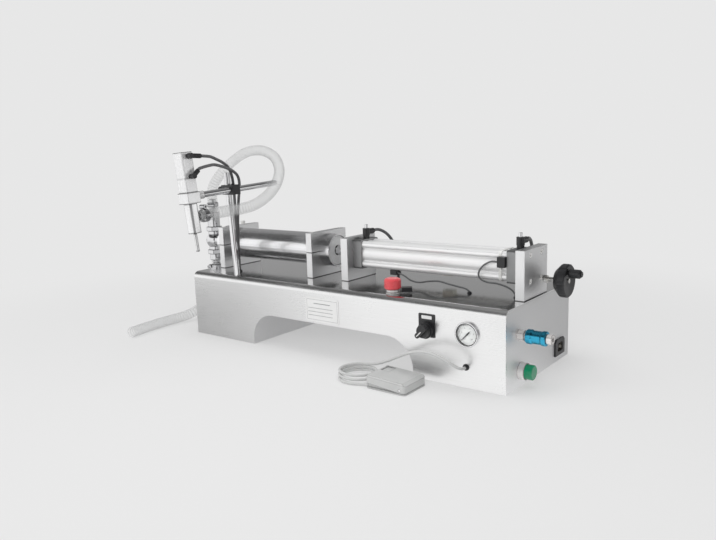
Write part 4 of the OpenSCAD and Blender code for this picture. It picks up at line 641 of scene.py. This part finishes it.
def inlet_with_contacts():
    """A black moulding with metal contacts in its socket."""
    material, tree, shader, coords = new_finish("inlet_moulding", (0.02, 0.02, 0.022))
    contacts = inside(tree, coords, place(731, 204, 16), place(741.5, 230, 34))
    two_tone(tree, shader, contacts, (0.022, 0.022, 0.024), (0.75, 0.73, 0.68))
    tree.links.new(contacts, shader.inputs["Metallic"])
    worn_skin(tree, shader, coords, (0.28, 0.42))
    return material


def off_axis(tree, coords, axis, centre):
    """The distance of a point from a line along an axis, 0 for x, 1 for y and 2 for z."""
    stretch = [0.0 if k == axis else 1.0 for k in range(3)]
    foot = [c * k for c, k in zip(centre, stretch)]
    return vector_node(tree, "DISTANCE", vector_node(tree, "MULTIPLY", coords["Object"], stretch), foot)


def milled_block():
    """Milled steel, with painted shade darkening the slit between two halves of a clamp and the foot on the deck."""
    colour = (0.84, 0.84, 0.845)
    material, tree, shader, coords = new_finish("milled_block", colour, Metallic=1.0)
    grain_space = node(tree, "ShaderNodeMapping", {"Vector": coords["Object"], "Scale": upright_strokes}).outputs[0]
    grain = noise(tree, grain_space, 20.0, 4.0)
    # Painted shade: a dark line at the clamps' slit and along the foot where blocks and plates meet the deck.
    slit = inside(tree, coords, place(10, 60, 187), place(300, 180, 189))
    foot = inside(tree, coords, place(0, 0, 136), place(740, 262, 137.7))
    painted_gap_shade = math_node(tree, "MULTIPLY", math_node(tree, "MAXIMUM", slit, foot), 0.85)
    tree.links.new(spread(tree, grain, 0.37, 0.43), shader.inputs["Roughness"])
    two_tone(tree, shader, painted_gap_shade, colour, (0.05, 0.05, 0.05))
    relief(tree, shader, grain, 0.04, 0.00002, 0.0007)
    return material


def piston_face():
    """A faced disc, with painted shade: dark round the rod where its nut sits, and dark lines on sharp edges."""
    colour = (0.86, 0.86, 0.865)
    material, tree, shader, coords = new_finish("piston_face", colour, Metallic=0.45)
    low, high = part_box("product_piston")
    # Painted shade: the nut round the rod is painted near black.
    rod_nut_shade = math_node(tree, "LESS_THAN", off_axis(tree, coords, 0, (low + high) / 2), 0.0105)
    two_tone(tree, shader, rod_nut_shade, colour, (0.06, 0.06, 0.062))
    painted_edge_shade(tree, shader, 0.003)
    worn_skin(tree, shader, coords, (0.32, 0.4), 900.0, 0.04, 0.00002)
    return material


def gauge_shell():
    """A chrome rim round an inside painted black as shade, with painted shade on sharp edges."""
    material, tree, shader, coords = new_finish("gauge_shell", (0.84, 0.84, 0.85))
    low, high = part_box("gauge_case")
    radius = (high.x - low.x) / 2
    rim = math_node(tree, "GREATER_THAN", off_axis(tree, coords, 1, (low + high) / 2), radius - 0.0018)
    # Painted shade: inside the rim the case is painted black and not metal.
    two_tone(tree, shader, rim, (0.02, 0.02, 0.022), (0.84, 0.84, 0.85))
    painted_edge_shade(tree, shader, 0.0016)
    tree.links.new(rim, shader.inputs["Metallic"])
    worn_skin(tree, shader, coords, (0.08, 0.16), 900.0, 0.03, 0.00002)
    return material


def stop_collar():
    """A pale collar with painted shade on its sharp edges, and a black tab beside it."""
    material, tree, shader, coords = new_finish("stop_collar", (0.7, 0.7, 0.69))
    low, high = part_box("estop_button")
    tab = math_node(tree, "GREATER_THAN", off_axis(tree, coords, 2, (low + high) / 2), 0.0131)
    two_tone(tree, shader, tab, (0.72, 0.72, 0.71), (0.02, 0.02, 0.022))
    painted_edge_shade(tree, shader, 0.0025)
    worn_skin(tree, shader, coords, (0.28, 0.42))
    return material


THREAD_PITCH = 0.00125


def threaded_screw():
    """A plain bar that is threaded between its two collars, with painted shade darkening half of each thread turn."""
    material, tree, shader, coords = new_finish("threaded_screw", (0.7, 0.69, 0.67), Metallic=1.0)
    x, y, z = node(tree, "ShaderNodeSeparateXYZ", {0: coords["Object"]}).outputs
    low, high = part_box("lead_screw")
    round_axis = math_node(tree, "ARCTAN2", math_node(tree, "SUBTRACT", z, (low.z + high.z) / 2),
                           math_node(tree, "SUBTRACT", y, (low.y + high.y) / 2))
    phase = math_node(tree, "ADD", math_node(tree, "MULTIPLY", x, 2 * math.pi / THREAD_PITCH), round_axis)
    between = inside(tree, coords, place(395, 140, 150), place(705, 170, 180))
    ridge = math_node(tree, "MULTIPLY", math_node(tree, "SINE", phase), between)
    wear = noise(tree, coords["Object"], 90.0)
    tree.links.new(spread(tree, wear, 0.16, 0.3), shader.inputs["Roughness"])
    # Painted shade: the colour darkens with the thread's ridge, half of each turn.
    two_tone(tree, shader, ridge, (0.7, 0.69, 0.67), (0.5, 0.49, 0.47))
    relief(tree, shader, ridge, 0.6, 0.0003)
    return material


strap_switch, inlet_moulding, screw_thread = strapped_switch(), inlet_with_contacts(), threaded_screw()
block_steel, gauge_chrome, collar_and_tab = milled_block(), gauge_shell(), stop_collar()
faced_piston = piston_face()
print("mixed finishes ready")

# %% [markdown]
# ## Finishes on the solids
# Every solid that shows keeps its shape and takes a finish. A table from finish to solids is easier to read and
# to change than one line for each.

# %% Dress the solids
FINISHES = [
    (base_steel, "base_housing"),
    (satin_sheet, "left_end_panel right_end_panel belly_pan"),
    (block_steel, "clamp_bases clamp_caps front_plate rear_plate"),
    (turned_steel, "cylinder_tube cylinder_head"),
    (faced_piston, "product_piston"),
    (cast_steel, "valve_tee inlet_check outlet_check"),
    (nozzle_steel, "nozzle_body"),
    (ground_rod, "piston_rod stand_rod arm_rod nozzle_plunger pedal_pin"),
    (screw_steel, "fasteners"),
    (band_steel, "hose_clamps nozzle_clamp"),
    (drawn_barrel, "air_barrel air_piston"),
    (bright_block, "nozzle_actuator nozzle_holder"),
    (dark_casting, "cylinder_caps"),
    (blue_anodised, "coupler_sleeve"),
    (chrome, "front_flow_knob rear_flow_knob"),
    (bright_ring, "power_bezel"),
    (nickel, "air_coupler"),
    (gauge_chrome, "gauge_case"),
    (collar_and_tab, "estop_body"),
    (grey_zinc, "sensor_carriage"),
    (black_moulding, "flow_controls handwheel crank_grip selector_plate selector_body"),
    (black_moulding, "selector_knob gauge_needle cross_clamp nozzle_fittings cable_entries"),
    (black_rubber, "piston_seals"),
    (red_cap, "estop_button"),
    (green_cap, "power_button"),
    (pedal_grey, "pedal_base pedal_treadle"),
    (strap_switch, "reed_switches"),
    (inlet_moulding, "mains_inlet"),
    (screw_thread, "lead_screw"),
]
dressed = {name: material for material, names in FINISHES for name in names.split()}
for name, material in dressed.items():
    solid = frame["nodes"][name]
    solid.data.materials.clear()
    solid.data.materials.append(material)
print(len(dressed), "solids dressed of", len(frame["nodes"]))

# %% [markdown]
# ## Pressure gauge
# The gauge has a white dial under glass. The pane casts no shadow, so the dial is as bright as under real glass. Its
# marks repeat round an arc, so a tree sets a small bar on each point of the arc, and a second run of the same tree,
# with fewer and longer bars, sets the main marks.

# %% Dial and glass
gauge_low, gauge_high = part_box("gauge_case")
gauge_centre = Vector(((gauge_low.x + gauge_high.x) / 2, gauge_low.y, (gauge_low.z + gauge_high.z) / 2))
gauge_radius = (gauge_high.x - gauge_low.x) / 2
DIAL_DEPTH, GAUGE_RIM, DIAL_PLAY = 0.005, 0.003, 0.0001
dial_radius = gauge_radius - GAUGE_RIM


def disc(name, radius, thickness, y, material, edge=0.0002):
    """A flat disc that faces the front, with a bevelled edge."""
    work = bmesh.new()
    bmesh.ops.create_cone(work, cap_ends=True, segments=64, radius1=radius, radius2=radius, depth=thickness)
    rims = [e for e in work.edges if abs(e.verts[0].co.z - e.verts[1].co.z) < 1e-6]
    bmesh.ops.bevel(work, geom=rims, offset=edge, segments=2, affect="EDGES")
    mesh = bpy.data.meshes.new(name)
    work.to_mesh(mesh)
    work.free()
    mesh.transform(Matrix.Translation((gauge_centre.x, y, gauge_centre.z)) @ Matrix.Rotation(math.pi / 2, 4, "X"))
    return add_piece(name, mesh, material)


dial_white = moulded("dial_white", (0.88, 0.88, 0.87), (0.4, 0.5), strength=0.03, tone=0.97)
dial_ink = moulded("dial_ink", (0.02, 0.02, 0.022), (0.45, 0.55), strength=0.03)
gauge_glass = moulded("gauge_glass", (0.96, 0.97, 0.97), (0.02, 0.05), texture=300.0, strength=0.01,
                      Transmission_Weight=1.0, IOR=1.3)
dial_face = gauge_centre.y + DIAL_DEPTH - 0.0004
dial = disc("gauge_dial", dial_radius - DIAL_PLAY, 0.0004, dial_face + 0.0002, dial_white, 0.0001)
pane = disc("gauge_pane", dial_radius - DIAL_PLAY, 0.0006, gauge_centre.y + 0.0011, gauge_glass)
pane.visible_shadow = False
print("dial", round(gauge_radius * 2000, 1), "mm across")


# %% Dial marks
def marks_tree():
    tree, given = tree_with_inputs("dial_marks", {
        "Radius": "NodeSocketFloat", "Count": "NodeSocketInt", "Length": "NodeSocketFloat",
        "Width": "NodeSocketFloat", "Finish": "NodeSocketMaterial"})
    arc = node(tree, "GeometryNodeCurveArc", {
        "Resolution": given["Count"], "Radius": given["Radius"], "Start Angle": math.radians(-45),
        "Sweep Angle": math.radians(270)}).outputs[0]
    size = node(tree, "ShaderNodeCombineXYZ", {0: given["Length"], 1: given["Width"], 2: 0.0001}).outputs[0]
    bar = node(tree, "GeometryNodeMeshCube", {"Size": size}).outputs[0]
    outward = vector_node(tree, "NORMALIZE", node(tree, "GeometryNodeInputPosition").outputs[0])
    turn = node(tree, "FunctionNodeAlignRotationToVector", {"Vector": outward}, axis="X").outputs[0]
    marks = node(tree, "GeometryNodeInstanceOnPoints", {"Points": arc, "Instance": bar, "Rotation": turn}).outputs[0]
    end_tree(tree, marks, given["Finish"])
    return tree


dial_marks = marks_tree()
facing_front = Matrix.Translation((gauge_centre.x, dial_face - 0.00006, gauge_centre.z)) \
    @ Matrix.Rotation(math.pi / 2, 4, "X")
MARKS = [("gauge_fine_marks", 51, 0.0012, 0.00018), ("gauge_main_marks", 11, 0.0024, 0.0004)]
MARK_MARGIN = 0.0012
marks = []
for name, count, length, width in MARKS:
    sizes = {"Radius": dial_radius - MARK_MARGIN - length / 2, "Count": count, "Length": length, "Width": width}
    marks.append(grown(name, bpy.data.meshes.new(name + "_start"), dial_marks, sizes, dial_ink, facing_front))
for piece in (dial, pane, *marks):
    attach(piece, "machine")
print("dial marks", [len(m.data.polygons) // 6 for m in marks])

# %% [markdown]
# The dial's numbers are the plain scale of a pressure gauge. Text is laid out as a curve, made a mesh, and only then
# put in its place, because a text object can't carry its place in its points.

# %% Dial numbers
def printed(name, text, size, at, material, body):
    curve = bpy.data.curves.new(name, "FONT")
    curve.body, curve.size, curve.align_x, curve.align_y = text, size, "CENTER", "CENTER"
    curve.extrude = 0.00003
    words = bpy.data.objects.new(name + "_text", curve)
    bpy.context.collection.objects.link(words)
    graph = bpy.context.evaluated_depsgraph_get()
    mesh = bpy.data.meshes.new_from_object(words.evaluated_get(graph), depsgraph=graph)
    bpy.data.objects.remove(words)
    mesh.transform(at)
    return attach(add_piece(name, mesh, material), body)


NUMBER_RADIUS, NUMBER_SIZE = 0.0108, 0.0034
for k in range(6):
    angle = math.radians(225 - 54 * k)
    spot = Matrix.Translation((NUMBER_RADIUS * math.cos(angle), NUMBER_RADIUS * math.sin(angle), 0))
    printed(f"gauge_number_{k}", str(2 * k), NUMBER_SIZE, facing_front @ spot, dial_ink, "machine")
print("numbers 0 to 10")

# %% [markdown]
# ## Plates and the selector's pointer
# A name plate without words, only ruled, is fixed to the front, a bare label to the selector's plate, and a white
# pointer is inlaid in the selector's handle. All are thin plates with rounded edges, from one helper that bevels a
# box, and so are the rules.

# %% Name plate and pointer
def plate(name, size, material, at, corner, edge):
    """A thin plate, width by height by thickness, with round corners and soft edges."""
    work = bmesh.new()
    bmesh.ops.create_cube(work, size=1.0)
    bmesh.ops.scale(work, vec=size, verts=work.verts)
    standing = [e for e in work.edges if abs(e.verts[0].co.y - e.verts[1].co.y) > 1e-9]
    bmesh.ops.bevel(work, geom=standing, offset=corner, segments=5, affect="EDGES")
    rims = [e for e in work.edges if abs(e.verts[0].co.y - e.verts[1].co.y) < 1e-9 and e.verts[0].co.y < 0]
    bmesh.ops.bevel(work, geom=rims, offset=edge, segments=2, affect="EDGES")
    mesh = bpy.data.meshes.new(name)
    work.to_mesh(mesh)
    work.free()
    mesh.transform(at)
    return add_piece(name, mesh, material)


plate_white = moulded("plate_white", (0.84, 0.84, 0.835), (0.34, 0.42), strength=0.04, tone=0.97)
PLATE_X, PLATE_Z = 365.5, 93
name_plate = plate("name_plate", (0.081, 0.0006, 0.046), plate_white,
                   Matrix.Translation(place(PLATE_X, -0.32, PLATE_Z)), 0.002, 0.0002)
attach(name_plate, "machine")
ruling_ink = moulded("ruling_ink", (0.34, 0.34, 0.35), (0.4, 0.5), strength=0.03, tone=0.95)
RULES = [(0, 19.5, 74, 0.5), (0, -19.5, 74, 0.5), (-37, 0, 0.5, 39), (37, 0, 0.5, 39),
         (0, 12, 40, 1.6), (-4, 3, 60, 0.9), (-4, -4, 60, 0.9), (-4, -11, 60, 0.9)]
for k, (across, up, wide, high) in enumerate(RULES):
    rule = plate(f"name_plate_rule_{k}", (wide / 1000, 0.0001, high / 1000), ruling_ink,
                 Matrix.Translation(place(PLATE_X + across, -0.65, PLATE_Z + up)), 0.0001, 0.00002)
    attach(rule, "machine")
body_low, body_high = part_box("selector_body")
lever_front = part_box("selector_knob")[0].y
selector_axis = Vector(((body_low.x + body_high.x) / 2, lever_front, (body_low.z + body_high.z) / 2))
pointer_white = moulded("pointer_white", (0.85, 0.85, 0.84), (0.4, 0.5))
pointer = plate("selector_pointer", (0.0018, 0.0004, 0.0126), pointer_white,
                Matrix.Translation(selector_axis) @ Matrix.Rotation(math.radians(45), 4, "Y")
                @ Matrix.Translation((0, 0.00038, -0.0055)), 0.0003, 0.0001)
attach(pointer, "selector_handle")
legend_low, legend_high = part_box("selector_plate")
label = plate("selector_label", (0.02, 0.0004, 0.0058), plate_white,
              Matrix.Translation(((legend_low.x + legend_high.x) / 2, legend_low.y - 0.0002, legend_high.z - 0.006)),
              0.0006, 0.0001)
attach(label, "machine")
print("plates", name_plate.name, pointer.name, label.name)

# %% [markdown]
# ## Floor, light and background
# Polished metal is a picture of the room, so the room is laid out for what the metal should show. In front it is
# bright from the floor up to a ceiling line, and dark above that, which draws the bright and dark bands along the
# cylinders. A dark corner at the right front draws a dark line down the standing ones. Behind it is grey, which
# shades the end faces. Metal sees this room, the camera and the gauge's glass see a pale backdrop, and all other rays
# get an even fill. The floor near the machine keeps its shadow.

# %% Floor
PALE, FRONT_GLOW, BACK_GLOW = 0.8, 1.13, 0.47
DARK_CORNER = Vector((0.7734, -0.6339))
SHADOW_TO, BACKDROP_FROM, FLAT_SHARE = 0.4, 1.3, 0.45
FLOOR_MIRRORED = 0.8


def floor_finish():
    material = bpy.data.materials.new("studio_floor")
    material.use_nodes = True
    tree = material.node_tree
    tree.nodes.clear()
    coords = node(tree, "ShaderNodeTexCoord").outputs["Object"]
    speckle = noise(tree, coords, 400.0)
    tone = node(tree, "ShaderNodeMix", {0: speckle, 6: (PALE - 0.01,) * 3 + (1,), 7: (PALE + 0.01,) * 3 + (1,)},
                data_type="RGBA").outputs[2]
    matt = node(tree, "ShaderNodeBsdfDiffuse", {"Color": tone}).outputs[0]
    flat = node(tree, "ShaderNodeEmission", {"Color": (PALE, PALE, PALE, 1)}).outputs[0]
    reach = vector_node(tree, "LENGTH", coords)
    rays = node(tree, "ShaderNodeLightPath").outputs
    seen = math_node(tree, "MAXIMUM", rays["Is Camera Ray"], rays["Is Transmission Ray"])
    shown = node(tree, "ShaderNodeMixShader", {
        0: math_node(tree, "MULTIPLY", ramp(tree, reach, SHADOW_TO, BACKDROP_FROM, FLAT_SHARE), seen),
        1: matt, 2: flat}).outputs[0]
    depth = node(tree, "ShaderNodeSeparateXYZ", {0: coords}).outputs[1]
    from_left = vector_node(tree, "SUBTRACT", coords, place(-150, -130, 0))
    aside = vector_node(tree, "DOT_PRODUCT", from_left, (0.65, -0.75, 0))
    away = vector_node(tree, "LENGTH", from_left)
    left_shade = math_node(tree, "MAXIMUM", ramp(tree, aside, -0.02, 0.44, 0.38), ramp(tree, away, 0.42, 0.66))
    from_nozzle = vector_node(tree, "SUBTRACT", coords, place(140, -90, 0))
    across = vector_node(tree, "DOT_PRODUCT", from_nozzle, (-DARK_CORNER.y, DARK_CORNER.x, 0))
    along = vector_node(tree, "DOT_PRODUCT", from_nozzle, (*DARK_CORNER, 0))
    off_line = math_node(tree, "DIVIDE", math_node(tree, "ABSOLUTE", across), math_node(tree, "MAXIMUM", along, 0.1))
    corner_shade = math_node(tree, "MAXIMUM", ramp(tree, off_line, 0.28, 0.5, 0.08), ramp(tree, along, 0.8, 0.5))
    front = math_node(tree, "MULTIPLY", math_node(tree, "MULTIPLY", left_shade, corner_shade), FRONT_GLOW)
    glow = node(tree, "ShaderNodeMix", {0: ramp(tree, depth, 0.25, -0.1), 2: BACK_GLOW, 3: front}).outputs[0]
    mirrored = node(tree, "ShaderNodeEmission", {"Color": (1, 1, 1, 1), "Strength": glow}).outputs[0]
    by_metal = math_node(tree, "MULTIPLY", rays["Is Glossy Ray"],
                         math_node(tree, "SUBTRACT", 1.0, rays["Is Transmission Ray"]))
    surface = node(tree, "ShaderNodeMixShader", {
        0: math_node(tree, "MULTIPLY", by_metal, FLOOR_MIRRORED), 1: shown, 2: mirrored}).outputs[0]
    node(tree, "ShaderNodeOutputMaterial", {0: surface})
    return material


work = bmesh.new()
bmesh.ops.create_circle(work, cap_ends=True, segments=96, radius=14.0)
floor_mesh = bpy.data.meshes.new("studio_floor")
work.to_mesh(floor_mesh)
work.free()
floor_mesh.transform(Matrix.Translation((0, 0, -0.0002)))
add_piece("studio_floor", floor_mesh, floor_finish())
print("floor ready")


# %% World
def wall_bands(tree, height, bands):
    """Bands of brightness from the floor, 0, past the horizon, 0.5, to the ceiling's middle, 1."""
    made = node(tree, "ShaderNodeValToRGB", {0: height})
    while len(made.color_ramp.elements) < len(bands):
        made.color_ramp.elements.new(0.5)
    for stop, (spot, tone) in zip(made.color_ramp.elements, bands):
        stop.position, stop.color = spot, (tone, tone, tone, 1)
    return made.outputs[0]


FRONT_BANDS = [(0, 0.6), (0.5, 1.12), (0.71, 1.12), (0.75, 0.11), (0.88, 0.11), (0.95, 0.3), (1, 0.35)]
BACK_BANDS = [(0, 0.4), (0.5, BACK_GLOW), (0.62, 0.32), (0.8, 0.3), (1, 0.35)]
SIDE_BANDS = [(0, 0.4), (0.49, BACK_GLOW), (0.5, 1.1), (0.56, 1.1), (0.6, 0.12), (0.8, 0.12), (1, 0.35)]
world = bpy.data.worlds.new("studio")
bpy.context.scene.world = world
world.use_nodes = True
world.cycles.sampling_method = "NONE"
tree = world.node_tree
tree.nodes.clear()
rays = node(tree, "ShaderNodeLightPath").outputs
way = node(tree, "ShaderNodeTexCoord").outputs["Generated"]
rise = node(tree, "ShaderNodeSeparateXYZ", {0: way}).outputs[2]
height = node(tree, "ShaderNodeMapRange", {0: rise, 1: -1.0, 2: 1.0}).outputs[0]
front_wall, back_wall, side_wall = (wall_bands(tree, height, b) for b in (FRONT_BANDS, BACK_BANDS, SIDE_BANDS))
to_front = ramp(tree, vector_node(tree, "DOT_PRODUCT", way, (-0.35, -0.94, 0)), -0.3, 0.3)
walls = node(tree, "ShaderNodeMix", {0: to_front, 6: back_wall, 7: front_wall}, data_type="RGBA").outputs[2]
level_way = vector_node(tree, "NORMALIZE", vector_node(tree, "MULTIPLY", way, (1, 1, 0)))
to_side = ramp(tree, vector_node(tree, "DOT_PRODUCT", level_way, (0.77, 0.63, 0)), 0.5, 0.85)
to_corner = ramp(tree, vector_node(tree, "DOT_PRODUCT", level_way, (*DARK_CORNER, 0)), 0.96, 0.89, 0.08)
all_walls = node(tree, "ShaderNodeMix", {0: to_side, 6: walls, 7: side_wall}, data_type="RGBA").outputs[2]
fill = node(tree, "ShaderNodeBackground", {"Color": (1, 1, 1, 1), "Strength": 0.45}).outputs[0]
room = node(tree, "ShaderNodeBackground", {"Color": all_walls, "Strength": to_corner}).outputs[0]
backdrop = node(tree, "ShaderNodeBackground", {"Color": (PALE, PALE, PALE, 1), "Strength": 1.0}).outputs[0]
lit = node(tree, "ShaderNodeMixShader", {0: rays["Is Glossy Ray"], 1: fill, 2: room}).outputs[0]
seen = math_node(tree, "MAXIMUM", rays["Is Camera Ray"], rays["Is Transmission Ray"])
shown = node(tree, "ShaderNodeMixShader", {0: seen, 1: lit, 2: backdrop}).outputs[0]
node(tree, "ShaderNodeOutputWorld", {0: shown})
print("world ready")


# %% Lamps
def softbox(name, at, aim, size, watts):
    """A soft lamp that lights the matt surfaces, while metal shows the room."""
    light = bpy.data.lights.new(name, "AREA")
    light.shape, light.size, light.size_y, light.energy = "RECTANGLE", size[0], size[1], watts
    lamp = bpy.data.objects.new(name, light)
    bpy.context.collection.objects.link(lamp)
    lamp.location = at
    lamp.rotation_euler = (Vector(aim) - Vector(at)).to_track_quat("-Z", "Y").to_euler()
    lamp.visible_glossy = False
    return lamp


lamps = [
    softbox("overhead_softbox", (0.1, -0.1, 2.0), (0, 0, 0.1), (2.2, 1.8), 22),
    softbox("front_left_softbox", (-1.5, -1.7, 0.5), (0, 0, 0.2), (1.4, 0.5), 9),
    softbox("front_right_softbox", (0.9, -2.0, 1.1), (0.2, 0, 0.1), (1.0, 1.0), 12),
]
bpy.context.scene.view_settings.view_transform = "Standard"
print("lamps", [lamp.name for lamp in lamps])
